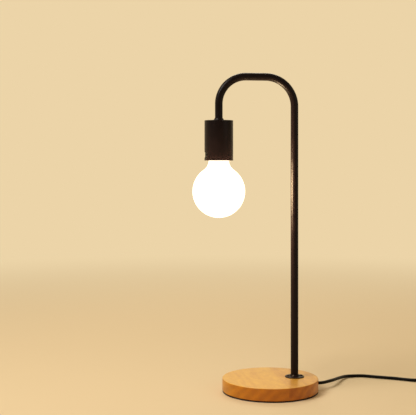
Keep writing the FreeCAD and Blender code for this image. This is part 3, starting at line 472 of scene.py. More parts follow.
def evenFinish(name):
    # a fine grain in a slow cloud: the cloud moves tone and roughness, the grain tone and bump
    look = evenFinishes[name]
    s = evenShared
    add, place = startMaterial(name)
    grain = add("ShaderNodeTexNoise", {
        "Vector": place, "Scale": 1 / (look["grain"] * mm), "Detail": 3.0, "Roughness": 0.6,
    })
    cloud = add("ShaderNodeTexNoise", {
        "Vector": place, "Scale": 1 / (s["cloud"] * mm), "Detail": 2.0,
    })
    blend = add("ShaderNodeMath", {
        0: grain, 1: s["grainShare"], 2: cloud,
    }, operation="MULTIPLY_ADD")
    tone = add("ShaderNodeValToRGB", {"Fac": blend})
    for stop, at, colour in zip(tone.color_ramp.elements, s["stops"], ("dark", "light")):
        stop.position = at
        stop.color = srgb(look[colour])
    rough = add("ShaderNodeMapRange", {
        "Value": cloud, **spanOf("From", s["cloudSpan"]), **spanOf("To", look["roughness"]),
    })
    bump = add("ShaderNodeBump", {"Height": grain, "Strength": 0.6, "Distance": look["depth"] * mm})
    endMaterial(add, {"Base Color": tone, "Roughness": rough, "Normal": bump, **look["shader"]})


# the other finishes, their lengths in mm

foamLook = {
    # the skin's warm brown is painted light bounced from the wood
    "skin": "#3a2013", "pore": "#160c07", "poreSize": 0.9, "poreDepth": 0.15, "wallShare": 0.25,
}


def cutEvaFoam():
    # closed-cell EVA sheet cut with a knife: dull and dark, its cells open at the surface; its warm
    # brown is painted light bounced from the wood
    add, place = startMaterial("cutEvaFoam")
    cells = add("ShaderNodeTexVoronoi", {
        "Vector": place, "Scale": 1 / (foamLook["poreSize"] * mm),
    }, feature="DISTANCE_TO_EDGE")
    wall = add("ShaderNodeMapRange", {"Value": cells, "From Max": foamLook["wallShare"]})
    tone = add("ShaderNodeMix", {
        "Factor": wall, 6: srgb(foamLook["skin"]), 7: srgb(foamLook["pore"]),
    }, data_type="RGBA")
    bump = add("ShaderNodeBump", {
        "Height": wall, "Strength": 0.7, "Distance": foamLook["poreDepth"] * mm,
    }, invert=True)
    endMaterial(add, {"Base Color": tone.outputs[2], "Roughness": 0.9, "IOR": 1.5, "Normal": bump})


capLook = {
    "pale": "#cfd1d3", "worn": "#a9abae", "markWidth": 0.25, "markLength": 8.0,
    "roughness": (0.22, 0.42),
}


def rolledAluminium():
    # aluminium strip drawn and rolled to a thread: pale grey, with fine marks that run round it
    c = capLook
    add, place = startMaterial("rolledAluminium")
    drawOut = c["markWidth"] / c["markLength"]
    drawn = add("ShaderNodeVectorMath", {0: place, 1: (drawOut, drawOut, 1)}, operation="MULTIPLY")
    marks = add("ShaderNodeTexNoise", {
        "Vector": drawn, "Scale": 1 / (c["markWidth"] * mm), "Detail": 3.0,
    })
    tone = add("ShaderNodeMix", {
        "Factor": marks, 6: srgb(c["pale"]), 7: srgb(c["worn"]),
    }, data_type="RGBA")
    rough = add("ShaderNodeMapRange", {"Value": marks, **spanOf("To", c["roughness"])})
    endMaterial(add, {"Base Color": tone.outputs[2], "Metallic": 1.0, "Roughness": rough})


steatiteLook = {"body": "#e9e4d8", "speck": "#b9b2a4", "speckGap": 1.2, "speckSize": (0.05, 0.16)}


def pressedSteatite():
    # steatite powder pressed and fired unglazed: matt off-white with sparse grey specks
    s = steatiteLook
    add, place = startMaterial("pressedSteatite")
    specks = add("ShaderNodeTexVoronoi", {"Vector": place, "Scale": 1 / (s["speckGap"] * mm)})
    dark = add("ShaderNodeMapRange", {"Value": specks, **spanOf("From", s["speckSize"])})
    tone = add("ShaderNodeMix", {
        "Factor": dark, 6: srgb(s["speck"]), 7: srgb(s["body"]),
    }, data_type="RGBA")
    endMaterial(add, {"Base Color": tone.outputs[2], "Roughness": 0.6, "IOR": 1.6})


woodLook = {  # the seed picks each stave's own tone
    "pale": "#edb645", "honey": "#e0a43d", "dark": "#cc8b35", "stops": (0.35, 0.65, 0.95),
    # the rim's two colours and the facing that picks out the rim: darker cut fibres, and painted
    # shade on the sides
    "shadedLongSide": "#e6ce3c", "shadedEndGrain": "#cda03d", "ringTone": (1.05, 0.91),
    "shadedRimFacing": (0.25, 0.8),
    "stave": 90.0, "glueLine": 13.0, "seed": 20.0, "ownShift": (-0.03, 0.5, 0.04),
    "heartAway": 120.0, "heartBelow": 60.0, "ringGap": 13.0, "ringStretch": 0.15,
    "fibre": 0.8, "fibreLength": 26.0, "figure": 7.0, "figureLength": 15.0, "fibreDepth": 0.02,
    "shares": {"stave": 0.24, "rings": 0.1, "fibre": 0.3, "figure": 0.6},
}


def lacqueredRubberwood():
    # staves of rubberwood glued side by side, turned, sanded and lacquered: honey with a low
    # contrast, a cloudy figure on top, rings across the rim, a smooth coat that mirrors the post
    w = woodLook
    add, place = startMaterial("lacqueredRubberwood")
    apart = add("ShaderNodeSeparateXYZ", {0: place}).outputs
    row = add("ShaderNodeMath", {
        0: apart[0], 1: 1 / (w["stave"] * mm), 2: w["seed"] - w["glueLine"] / w["stave"],
    }, operation="MULTIPLY_ADD")
    stave = add("ShaderNodeMath", {0: row}, operation="FLOOR")
    own = add("ShaderNodeTexWhiteNoise", {"W": stave}, noise_dimensions="1D")
    inStave = add("ShaderNodeMath", {0: row, 1: stave}, operation="SUBTRACT")
    fromHeart = add("ShaderNodeMath", {
        0: inStave, 1: w["stave"] * mm, 2: -w["heartAway"] * mm,
    }, operation="MULTIPLY_ADD")
    sawn = add("ShaderNodeCombineXYZ", {0: fromHeart, 1: apart[1], 2: apart[2]})
    log = add("ShaderNodeVectorMath", {
        0: own.outputs["Color"], 1: w["ownShift"], 2: sawn,
    }, operation="MULTIPLY_ADD")
    slow = add("ShaderNodeVectorMath", {
        0: log, 1: (1.0, w["ringStretch"], 1.0), 2: (0, 0, w["heartBelow"] * mm),
    }, operation="MULTIPLY_ADD")
    waveGap = turn / 20  # metres between the node's rings at scale 1
    rings = add("ShaderNodeTexWave", {
        "Vector": slow, "Scale": waveGap / (w["ringGap"] * mm), "Distortion": 8.0,
        "Detail": 3.0, "Detail Scale": 0.7,
    }, wave_type="RINGS", rings_direction="Y").outputs["Fac"]
    parts = {"rings": rings}
    for part, detail in (("fibre", {"Detail": 4.0, "Roughness": 0.6}),
                         ("figure", {"Detail": 2.0, "Distortion": 0.6})):
        drawn = add("ShaderNodeVectorMath", {
            0: log, 1: (1.0, w[part] / w[part + "Length"], 1.0),
        }, operation="MULTIPLY")
        parts[part] = add("ShaderNodeTexNoise", {
            "Vector": drawn, "Scale": 1 / (w[part] * mm), **detail,
        })
    mixed = add("ShaderNodeMath", {
        0: own, 1: -w["shares"]["stave"], 2: w["shares"]["stave"],
    }, operation="MULTIPLY_ADD")
    for part, values in parts.items():
        mixed = add("ShaderNodeMath", {
            0: values, 1: w["shares"][part], 2: mixed,
        }, operation="MULTIPLY_ADD")
    tone = add("ShaderNodeValToRGB", {"Fac": mixed})
    stops = tone.color_ramp.elements
    stops.new(w["stops"][1])
    for stop, at, colour in zip(stops, w["stops"], ("pale", "honey", "dark")):
        stop.position = at
        stop.color = srgb(w[colour])
    # the rim is darker than the top: partly real, where the turned rim cuts the fibres, most at the
    # ends of the staves, and partly painted shade on the sides
    normal = add("ShaderNodeNewGeometry").outputs["Normal"]
    facing = add("ShaderNodeSeparateXYZ", {0: normal}).outputs
    rim = add("ShaderNodeMapRange", {
        "Value": facing[2], **spanOf("From", w["shadedRimFacing"]), **spanOf("To", (1.0, 0.0)),
    }, interpolation_type="SMOOTHSTEP")
    ends = add("ShaderNodeMath", {0: facing[1]}, operation="ABSOLUTE")
    side = add("ShaderNodeMix", {
        "Factor": ends, 6: srgb(w["shadedLongSide"]), 7: srgb(w["shadedEndGrain"]),
    }, data_type="RGBA")
    ringed = add("ShaderNodeMapRange", {"Value": rings, **spanOf("To", w["ringTone"])})
    ringedRimShade = add("ShaderNodeVectorMath", {0: side.outputs[2], "Scale": ringed}, operation="SCALE")
    toneWithRimShade = add("ShaderNodeMix", {
        "Factor": rim, 6: tone, 7: ringedRimShade,
    }, data_type="RGBA", blend_type="MULTIPLY")
    bump = add("ShaderNodeBump", {
        "Height": parts["fibre"], "Strength": 0.35, "Distance": w["fibreDepth"] * mm,
    })
    endMaterial(add, {
        "Base Color": toneWithRimShade.outputs[2], "Roughness": 0.5, "IOR": 1.5, "Normal": bump,
        "Specular IOR Level": 0.3, "Coat Weight": 0.42, "Coat Roughness": 0.12, "Coat IOR": 1.5,
    })


glassLook = {
    "opal": "#fdf3e2", "glow": "#fff0dc", "strength": 2.0, "cloud": 12, "roughness": (0.08, 0.16),
    "clear": "#f4f7f5", "ripple": 3, "rippleDepth": 0.05,
}


def opalGlass():
    # opal glass round a lit lamp: white all over, with a thin clear gloss outside
    g = glassLook
    add, place = startMaterial("opalGlass")
    cloud = add("ShaderNodeTexNoise", {"Vector": place, "Scale": 1 / (g["cloud"] * mm)})
    rough = add("ShaderNodeMapRange", {"Value": cloud, **spanOf("To", g["roughness"])})
    endMaterial(add, {
        "Base Color": srgb(g["opal"]), "Roughness": rough, "IOR": 1.5,
        "Emission Color": srgb(g["glow"]), "Emission Strength": g["strength"],
    })


def clearGlass():
    # lead-free stem glass: clear, with slight ripples from the flame
    g = glassLook
    add, place = startMaterial("clearGlass")
    ripple = add("ShaderNodeTexNoise", {"Vector": place, "Scale": 1 / (g["ripple"] * mm)})
    bump = add("ShaderNodeBump", {
        "Height": ripple, "Strength": 0.4, "Distance": g["rippleDepth"] * mm,
    })
    endMaterial(add, {
        "Base Color": srgb(g["clear"]), "Roughness": 0.03, "IOR": 1.52,
        "Transmission Weight": 1.0, "Normal": bump,
    })


coreLook = {"left": "#5b3a24", "right": "#2b56a0", "grain": 0.6, "depth": 0.01}


def extrudedCorePvc():
    # PVC extruded round the two cores: smooth, brown on one side and blue on the other
    c = coreLook
    add, place = startMaterial("extrudedCorePvc")
    apart = add("ShaderNodeSeparateXYZ", {0: place})
    side = add("ShaderNodeMath", {0: apart, 1: dropX * mm}, operation="GREATER_THAN")
    tone = add("ShaderNodeMix", {
        "Factor": side, 6: srgb(c["left"]), 7: srgb(c["right"]),
    }, data_type="RGBA")
    grain = add("ShaderNodeTexNoise", {"Vector": place, "Scale": 1 / (c["grain"] * mm)})
    bump = add("ShaderNodeBump", {"Height": grain, "Strength": 0.4, "Distance": c["depth"] * mm})
    endMaterial(add, {"Base Color": tone.outputs[2], "Roughness": 0.4, "IOR": 1.53, "Normal": bump})


for name in evenFinishes:
    evenFinish(name)
cutEvaFoam()
rolledAluminium()
pressedSteatite()
lacqueredRubberwood()
opalGlass()
clearGlass()
extrudedCorePvc()
print("finishes mixed:", len(finish))


# base; channel and recess hold the cord and its grommet

baseParts = {
    "topRound": 1.2, "lowChamfer": 0.8, "segments": 256, "postDepth": 4.2, "fit": 0.1,
    "chamberRadius": 7.5, "channelHeight": 10.1, "channelRadius": 4.0, "channelLength": 100,
}
padParts = {"round": 0.4, "segments": 256}
grommetParts = {
    "radius": 4.3, "depth": 1.6, "proud": 0.4, "bore": 2.55, "lip": 0.5, "length": 6.1,
    "fit": 0.05, "segments": 64,
}


def makeWoodBase():
    b = baseParts
    g = grommetParts
    low = baseLow.z
    top = baseHigh.z
    base = lathe("woodBase", [
        (0, low), (baseRadius - b["lowChamfer"], low), (baseRadius, low + b["lowChamfer"]),
        *roundCorner((baseRadius, top), b["topRound"], 0, 90), (0, top),
    ], segments=b["segments"])
    up = (0, 0, 1)
    right = (1, 0, 0)
    height = b["channelHeight"]
    halfWay = postX + b["channelLength"] / 2
    chamber = top - low - b["postDepth"]
    seat = g["depth"] - g["proud"]
    base = cut(
        base,
        rod("postHole", (postX, 0, top), up, tubeRadius + b["fit"], 2 * b["postDepth"]),
        rod("chamber", (postX, 0, low), up, b["chamberRadius"], 2 * chamber),
        rod("channel", (halfWay, 0, height), right, b["channelRadius"], b["channelLength"]),
        rod("recess", (baseRadius, 0, height), right, g["radius"] + b["fit"], 2 * seat),
    )
    return finishPiece(base, "lacqueredRubberwood", "lacquered_wood", "wood_base")


def makeBasePad():
    radius = padParts["round"]
    pad = lathe("basePad", [
        (0, padLow.z),
        *roundCorner((padHigh.x, padLow.z), radius, -90, 0, 4),
        *roundCorner((padHigh.x, padHigh.z), radius, 0, 90, 4),
        (0, padHigh.z),
    ], segments=padParts["segments"])
    return finishPiece(pad, "cutEvaFoam", "pad_foam", "base_pad")


def makeGrommet():
    g = grommetParts
    sleeve = baseParts["channelRadius"] - g["fit"]
    grommet = lathe("cordGrommet", [
        (g["bore"], -g["length"]), (sleeve, -g["length"]), (sleeve, -g["depth"]),
        (g["radius"], -g["depth"]),
        *roundCorner((g["radius"], 0), g["lip"], 0, 90, 4),
        *roundCorner((g["bore"], 0), g["lip"], 90, 180, 4),
    ], segments=g["segments"])
    layDown(grommet, "Y", (baseRadius + g["proud"], 0, baseParts["channelHeight"]))
    return finishPiece(grommet, "mouldedPlastic", "black_plastic", "cord_grommet")


makeWoodBase()
makeBasePad()
makeGrommet()


# flange and its screws

flangeParts = {
    "thickness": 1.5, "edge": 0.6, "bore": 6.05, "collarRadius": 7.3, "collarEdge": 1.0,
    "weld": 0.5, "segments": 160, "holeRadius": 1.8, "holeDepth": 3,
}
flangeScrewParts = {
    "Head Radius": 2.9, "Head Height": 1.7, "Shank Radius": 1.7, "Shank Length": 7.5, "Recess": 0.7,
    "Step": (21.0, 0, 0),
}


def makeFlange():
    f = flangeParts
    low = flangeLow.z
    top = low + f["thickness"]
    radius = (flangeHigh.x - flangeLow.x) / 2
    collar = f["collarRadius"]
    flange = lathe("baseFlange", [
        (f["bore"], low), (radius, low),
        *roundCorner((radius, top), f["edge"], 0, 90, 5),
        *roundCorner((collar, top), f["weld"], -90, -180, 4),
        *roundCorner((collar, flangeHigh.z), f["collarEdge"], 0, 90, 6),
        (f["bore"], flangeHigh.z),
    ], (postX, 0), f["segments"])
    holes = []
    for side in (-0.5, 0.5):
        centre = (postX + side * flangeScrewParts["Step"][0], 0, top)
        holes.append(rod("screwHole", centre, (0, 0, 1), f["holeRadius"], 2 * f["holeDepth"]))
    flange = cut(flange, *holes)
    return finishPiece(flange, "powderCoatedSteel", "black_paint", "base_flange")


def screwTree():
    # a domed head with a cross recess on a plain shank, once on each point of a line
    tree, add, size = startTree("domedScrew", {
        "Head Radius": "Float", "Head Height": "Float", "Shank Radius": "Float",
        "Shank Length": "Float", "Recess": "Float", "First": "Vector", "Step": "Vector",
        "Turn": "Rotation",
    })
    radius = size["Head Radius"]
    height = size["Head Height"]
    ball = add("GeometryNodeMeshUVSphere", {"Segments": 40, "Rings": 20, "Radius": 1.0})
    dome = add("ShaderNodeCombineXYZ", {0: radius, 1: radius, 2: height})
    head = add("GeometryNodeTransform", {"Geometry": ball, "Scale": dome})
    # a block as deep as it is wide takes the lower half away
    wide = add("ShaderNodeMath", {0: radius, 1: 3.0}, operation="MULTIPLY")
    deep = add("ShaderNodeMath", {0: wide, 1: -0.5}, operation="MULTIPLY")
    blockSize = add("ShaderNodeCombineXYZ", {0: wide, 1: wide, 2: wide})
    block = add("GeometryNodeMeshCube", {"Size": blockSize})
    below = add("GeometryNodeTransform", {
        "Geometry": block, "Translation": add("ShaderNodeCombineXYZ", {2: deep}),
    })
    slotSize = add("ShaderNodeCombineXYZ", {0: radius, 1: size["Recess"], 2: height})
    bar = add("GeometryNodeMeshCube", {"Size": slotSize})
    lift = add("ShaderNodeCombineXYZ", {2: height})
    crossTurn = 0.4  # how far the driver left the cross turned, in radians
    cross = [add("GeometryNodeTransform", {
        "Geometry": bar, "Translation": lift, "Rotation": (0, 0, angle),
    }) for angle in (crossTurn, crossTurn + math.pi / 2)]
    recessed = add("GeometryNodeMeshBoolean", {
        "Mesh 1": head, "Mesh 2": [below, *cross],
    }, operation="DIFFERENCE", solver="EXACT")
    shank = add("GeometryNodeMeshCylinder", {
        "Vertices": 24, "Radius": size["Shank Radius"], "Depth": size["Shank Length"],
    })
    half = add("ShaderNodeMath", {0: size["Shank Length"], 1: -0.5}, operation="MULTIPLY")
    hung = add("GeometryNodeTransform", {
        "Geometry": shank, "Translation": add("ShaderNodeCombineXYZ", {2: half}),
    })
    screw = add("GeometryNodeJoinGeometry", {0: [recessed, hung]})
    line = add("GeometryNodeMeshLine", {
        "Count": 2, "Start Location": size["First"], "Offset": size["Step"],
    })
    placed = add("GeometryNodeInstanceOnPoints", {
        "Points": line, "Instance": screw, "Rotation": size["Turn"],
    })
    endTree(add, size, placed)
    return tree


def makeScrews(name, sizes, middle, look, slot, node, facing=(0, 0, 0)):
    # two of them, a step apart, set about their middle
    first = [at - step / 2 for at, step in zip(middle, sizes["Step"])]
    screws = growPiece(addMesh(name, [(0, 0, 0)]), domedScrew, look, {
        **sizes, "First": first, "Turn": facing,
    })
    return finishPiece(smooth(screws), look, slot, node)


domedScrew = screwTree()
baseFlange = makeFlange()
flangeScrews = makeScrews(
    "flangeScrews", flangeScrewParts, (postX, 0, flangeLow.z + flangeParts["thickness"]),
    "blackOxideSteel", "black_screw", "flange_screws",
)
print("base, flange and screws made")


# bent tube

tubeParts = {"Post Bend": 46.0, "Drop Bend": 43.0, "Bend Steps": 40, "Sides": 72, "wall": 1.5}


def tubeTree():
    # a round profile along straight runs with filleted corners
    tree, add, size = startTree("bentTube", {
        "Radius": "Float", "Post Bend": "Float", "Drop Bend": "Float", "Middle": "Float",
        "Bend Steps": "Int", "Sides": "Int",
    })
    runs = add("GeometryNodeMeshToCurve", {"Mesh": size["Geometry"]})
    here = add("GeometryNodeInputPosition")
    apart = add("ShaderNodeSeparateXYZ", {0: here})
    onPost = add("FunctionNodeCompare", {0: apart, 1: size["Middle"]})
    bend = add("GeometryNodeSwitch", {
        "Switch": onPost, "False": size["Drop Bend"], "True": size["Post Bend"],
    }, input_type="FLOAT")
    path = add("GeometryNodeFilletCurve", {
        "Curve": runs, "Count": size["Bend Steps"], "Radius": bend,
    }, mode="POLY")
    ring = add("GeometryNodeCurvePrimitiveCircle", {
        "Resolution": size["Sides"], "Radius": size["Radius"],
    })
    tube = add("GeometryNodeCurveToMesh", {"Curve": path, "Profile Curve": ring})
    endTree(add, size, tube)
    return tree


def makeTube():
    corners = [
        (postX, 0, tubeLow.z), (postX, 0, archHeight),
        (dropX, 0, archHeight), (dropX, 0, collarHigh.z),
    ]
    runs = addMesh("lampTube", corners, edges=[(0, 1), (1, 2), (2, 3)])
    tube = growPiece(runs, tubeTree(), "powderCoatedSteel", {
        **tubeParts, "Radius": tubeRadius, "Middle": (postX + dropX) / 2,
    })
    wall = tidyMesh(tube).modifiers.new("wall", "SOLIDIFY")
    wall.thickness = tubeParts["wall"] * mm
    wall.offset = -1
    return finishPiece(smooth(bake(tube)), "powderCoatedSteel", "black_paint", "lamp_tube")


lampTube = makeTube()
print("tube bent")


# collar, cup and the holder's skirt

collarParts = {"bore": 5.05, "rim": 0.6, "edge": 0.5, "margin": 0.3, "lip": 0.15}
cupParts = {
    "wall": 1.0, "topThickness": 1.2, "topRound": 0.8, "insideRound": 0.6, "rimRound": 0.25,
    "bore": 5.05, "segments": 192,
    "windowWidth": 20.0, "windowHeight": 8.3, "windowAboveRim": 4.7, "windowRound": 1.2,
}


def makeCollar():
    c = collarParts
    rim = (collarHigh.x - collarLow.x) / 2
    top = tubeRadius + c["margin"]
    start = collarLow.z + c["rim"]
    slope = math.degrees(math.atan2(rim - top, collarHigh.z - start))
    collar = lathe("cupCollar", [
        (c["bore"], collarLow.z), (rim, collarLow.z),
        *arcPoints((rim - c["edge"], start), c["edge"], 0, slope, 4),
        (top, collarHigh.z - c["lip"]), (top, collarHigh.z), (c["bore"], collarHigh.z),
    ], bulbAxis)
    return finishPiece(collar, "powderCoatedSteel", "black_paint", "cup_collar")


def makeCup():
    c = cupParts
    outer = (cupHigh.x - cupLow.x) / 2
    inner = outer - c["wall"]
    rim = cupLow.z
    top = cupHigh.z
    ceiling = top - c["topThickness"]
    cup = lathe("socketCup", [
        (c["bore"], ceiling),
        *roundCorner((inner, ceiling), c["insideRound"], 90, 0, 5),
        *roundCorner((inner, rim), c["rimRound"], 180, 270, 4),
        *roundCorner((outer, rim), c["rimRound"], 270, 360, 4),
        *roundCorner((outer, top), c["topRound"], 0, 90),
        (c["bore"], top),
    ], bulbAxis, c["segments"])
    sill = rim + c["windowAboveRim"]
    low = (-c["windowWidth"] / 2, sill)
    high = (c["windowWidth"] / 2, sill + c["windowHeight"])
    outline = roundedOutline(low, high, c["windowRound"], 6)
    ends = (dropX - 2 * outer, dropX)
    cup = cut(cup, skin("window", [[(x, y, z) for y, z in outline] for x in ends]))
    return finishPiece(cup, "powderCoatedSteel", "black_paint", "socket_cup")


mouldedEdges = {"flatWithin": 0.5, "from": 40, "segments": 2}  # angles in degrees


def moulded(name, node, body="lamp", width=0.2):
    # the node's own form in plastic: moulded edges are never knife sharp
    obj = addObject(name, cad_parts[node].data.copy())
    mesh = obj.data
    bm = bmesh.new()
    bm.from_mesh(mesh)
    bmesh.ops.remove_doubles(bm, verts=bm.verts, dist=meshLimits["sliver"] * mm)
    flat = math.radians(mouldedEdges["flatWithin"])
    bmesh.ops.dissolve_limit(bm, angle_limit=flat, verts=bm.verts, edges=bm.edges)
    bm.to_mesh(mesh)
    bm.free()
    if "custom_normal" in mesh.attributes:
        mesh.attributes.remove(mesh.attributes["custom_normal"])
    edge = obj.modifiers.new("edges", "BEVEL")
    edge.width = width * mm
    edge.segments = mouldedEdges["segments"]
    edge.limit_method = "ANGLE"
    edge.angle_limit = math.radians(mouldedEdges["from"])
    return finishPiece(smooth(bake(obj)), "mouldedPlastic", "black_plastic", node, body=body)


cupCollar = makeCollar()
socketCup = makeCup()
holderSkirt = moulded("holderSkirt", "holder_skirt")
print("collar, cup and holder made")


# bulb

globeParts = {
    "wall": 0.9, "neckRadius": 15.5, "neckFillet": 19.0, "shoulderBelowCap": 2.2,
    "shoulderRound": 1.0, "endRadius": 12.65, "aboveCap": 3.0, "gap": 0.1, "segments": 160,
}
screwThread = {"pitch": 3.62857, "depth": 0.5, "fade": 1.6, "step": 0.3, "segments": 96}
capParts = {"wall": 0.4, "plainRim": 4.0, "runIn": 0.8, "shoulder": 2.5, "seat": 8.8}
shellParts = {"wall": 0.35, "plainRim": 4.0, "runIn": 0.6, "seat": 8.0}
contactParts = {
    "shoulder": (1.2, 0.9), "edge": (0.9, 0.2), "rim": 0.4, "segments": 96, "tipSegments": 64,
}
tipLow, tipHigh = cornersOf("bulb_tip")
tipRadius = (tipHigh.x - tipLow.x) / 2


def globeOutline(skinDepth, steps):
    # outline from the lowest point over the sphere and the fillet to the neck
    g = globeParts
    radius = globeRadius - skinDepth
    fillet = g["neckFillet"] + skinDepth
    filletR = g["neckRadius"] - skinDepth + fillet
    filletZ = globeMiddle + math.sqrt((radius + fillet) ** 2 - filletR ** 2)
    touch = math.degrees(math.atan2(filletZ - globeMiddle, filletR))
    sphere = arcPoints((0, globeMiddle), radius, -90, touch, steps)
    sphere[0] = (0, globeMiddle - radius)
    return sphere + arcPoints((filletR, filletZ), fillet, touch + 180, 180, steps // 4)[1:]


def makeGlobe():
    g = globeParts
    neck = g["neckRadius"]
    end = g["endRadius"]
    bend = g["shoulderRound"]
    shoulder = capLow.z - g["shoulderBelowCap"] - bend
    top = capLow.z + g["aboveCap"]
    globe = lathe("bulbGlobe", [
        *globeOutline(0, 72),
        (neck, shoulder),
        *arcPoints((neck - bend, shoulder), bend, 0, 80, 4),
        (end, capLow.z - g["gap"]), (end, top), (end - g["wall"], top), (end - g["wall"], capLow.z),
        (neck - g["wall"], shoulder),
        *reversed(globeOutline(g["wall"], 48)),
    ], bulbAxis, g["segments"])
    return finishPiece(globe, "opalGlass", "opal_glass", "bulb_globe", body="bulb")


def wallPoints(radius, start, end):
    # points close enough to carry the thread
    count = max(1, round(abs(end - start) / screwThread["step"]))
    return [(radius, start + (end - start) * i / count) for i in range(count + 1)]


def makeBulbCap():
    c = capParts
    wall = c["wall"]
    outer = (capHigh.x - capLow.x) / 2
    core = outer - screwThread["depth"]
    top = capHigh.z - c["shoulder"]
    rimEnd = capLow.z + c["plainRim"]
    start = rimEnd + c["runIn"]
    cap = lathe("bulbCap", [
        (outer - wall, capLow.z), (outer, capLow.z), (outer, rimEnd),
        *wallPoints(core, start, top),
        (c["seat"], capHigh.z), (c["seat"] - wall, capHigh.z - wall),
        *wallPoints(core - wall, top, start),
        (outer - wall, rimEnd),
    ], bulbAxis, screwThread["segments"], {**screwThread, "low": start, "high": top})
    return finishPiece(cap, "rolledAluminium", "bulb_cap_metal", "bulb_cap", body="bulb")


def makeShell():
    s = shellParts
    low, high = cornersOf("screw_shell")
    wall = s["wall"]
    outer = (high.x - low.x) / 2
    inner = outer - wall
    core = inner - screwThread["depth"]
    start = low.z + s["plainRim"]
    rimEnd = start - s["runIn"]
    top = high.z
    shell = lathe("screwShell", [
        (inner, low.z), (outer, low.z), (outer, rimEnd),
        *wallPoints(core + wall, start, top - wall),
        (core + wall, top), (s["seat"], top), (s["seat"], top - wall),
        *wallPoints(core, top - wall, start),
        (inner, rimEnd),
    ], bulbAxis, screwThread["segments"], {**screwThread, "low": start, "high": top - wall})
    return finishPiece(shell, "nickelPlatedBrass", "nickel_brass", "screw_shell")


def makeInsulator():
    # black glass button that carries the contact
    c = contactParts
    low, high = cornersOf("bulb_insulator")
    seat = (high.x - low.x) / 2
    button = lathe("bulbInsulator", [
        (0, low.z), (seat, low.z), (seat, capHigh.z),
        (seat - c["shoulder"][0], capHigh.z + c["shoulder"][1]),
        (tipRadius + c["edge"][0], high.z - c["edge"][1]), (tipRadius + c["rim"], high.z),
        (0, high.z),
    ], bulbAxis, c["segments"])
    return finishPiece(button, "pressedBlackGlass", "black_glass", "bulb_insulator", body="bulb")


def makeTip():
    # low dome of solder
    rise = tipHigh.z - tipLow.z
    dome = [(tipRadius * x, tipLow.z + rise * z) for x, z in arcPoints((0, 0), 1, 0, 90)[:-1]]
    outline = [(0, tipLow.z), *dome, (0, tipHigh.z)]
    contact = lathe("bulbTip", outline, bulbAxis, contactParts["tipSegments"])
    return finishPiece(contact, "tinSolder", "tin_tip", "bulb_tip", body="bulb_tip")


makeGlobe()
makeBulbCap()
makeShell()
makeInsulator()
makeTip()
print("bulb blown and capped")


# inline switch

switchLow, switchHigh = cornersOf("switch_lower_cover")
switchMiddle = (switchLow + switchHigh) / 2
switchScrewParts = {
    "Head Radius": 2.3, "Head Height": 1.2, "Shank Radius": 1.25, "Shank Length": 8.0,
    "Recess": 0.6, "Step": (40.0, 14.8, 0), "seat": 1.6,
}

switchLower = moulded("switchLower", "switch_lower_cover")
switchUpper = moulded("switchUpper", "switch_upper_cover")
switchRocker = moulded("switchRocker", "switch_rocker", body="switch_rocker", width=0.35)
switchScrews = makeScrews(
    "switchScrews", switchScrewParts, (switchMiddle.x, switchMiddle.y, switchScrewParts["seat"]),
    "zincPlatedSteel", "zinc_screw", "switch_screws", (math.pi, 0, 0),
)
print("switch made")


# plug

plugLow, plugHigh = cornersOf("plug_body")
plugMiddle = (plugLow + plugHigh) / 2
plugParts = {
    "reliefLength": 20.0, "reliefStart": 3.2, "reliefEnd": 5.0, "reliefRings": 5, "groove": 0.6,
    "neckWidth": 14.0, "neckThickness": 11.6, "faceLength": 9.0, "edge": 1.2, "sides": 72,
    "neckPower": 2.6, "facePower": 4.4, "straightShare": 0.35, "taperSteps": 14, "edgeSteps": 6,
    # along a ring of the relief, and how deep in its groove
    "ringShape": ((0, 0), (0.08, 0), (0.62, 0), (0.7, 1), (0.92, 1)),
}
gripParts = {
    "Length": 7.0, "Width": 0.8, "Rise": 0.7, "Count": 5, "Step": (0, 3.2, 0), "start": 6.0,
    "proud": 0.35,
}
pinParts = {
    "spread": 18.6, "radius": 2.0, "coreRadius": 1.3, "length": 19.0, "seat": 8.0, "tip": 0.8,
    "sleeveRadius": 1.8, "sleeveLength": 10.0, "step": 0.15, "fit": 0.05, "segments": 48,
}


def plugRing(distance, width, thickness, power):
    # superellipse across the plug at a distance from where the cord goes in
    ring = []
    for x, z in arcPoints((0, 0), 1, 0, 360, plugParts["sides"])[:-1]:
        x = math.copysign(abs(x) ** (2 / power), x) * width / 2
        z = math.copysign(abs(z) ** (2 / power), z) * thickness / 2
        ring.append((plugMiddle.x + x, plugHigh.y - distance, plugMiddle.z + z))
    return ring


def makePlug():
    p = plugParts
    rings = []
    # tapered relief with a groove at the end of each of its rings
    step = p["reliefLength"] / p["reliefRings"]
    for i in range(p["reliefRings"]):
        for share, depth in p["ringShape"]:
            at = (i + share) * step
            grown = (p["reliefEnd"] - p["reliefStart"]) * at / p["reliefLength"]
            across = 2 * (p["reliefStart"] + grown - p["groove"] * depth)
            rings.append(plugRing(at, across, across, 2))
    width = plugHigh.x - plugLow.x
    thickness = plugHigh.z - plugLow.z - 2 * gripParts["proud"]
    length = plugHigh.y - plugLow.y
    taper = length - p["reliefLength"] - p["faceLength"]
    for i in range(p["taperSteps"] + 1):
        share = i / p["taperSteps"]
        grown = p["straightShare"] * share + (1 - p["straightShare"]) * ease(share)
        rings.append(plugRing(
            p["reliefLength"] + taper * share,
            p["neckWidth"] + (width - p["neckWidth"]) * grown,
            p["neckThickness"] + (thickness - p["neckThickness"]) * share,
            p["neckPower"] + (p["facePower"] - p["neckPower"]) * share,
        ))
    for reach, rise in arcPoints((0, 0), p["edge"], 0, 90, p["edgeSteps"]):
        less = 2 * (p["edge"] - reach)
        at = length - p["edge"] + rise
        rings.append(plugRing(at, width - less, thickness - less, p["facePower"]))
    plug = smooth(skin("plugBody", rings))
    return finishPiece(plug, "extrudedPvc", "plug_pvc", "plug_body")


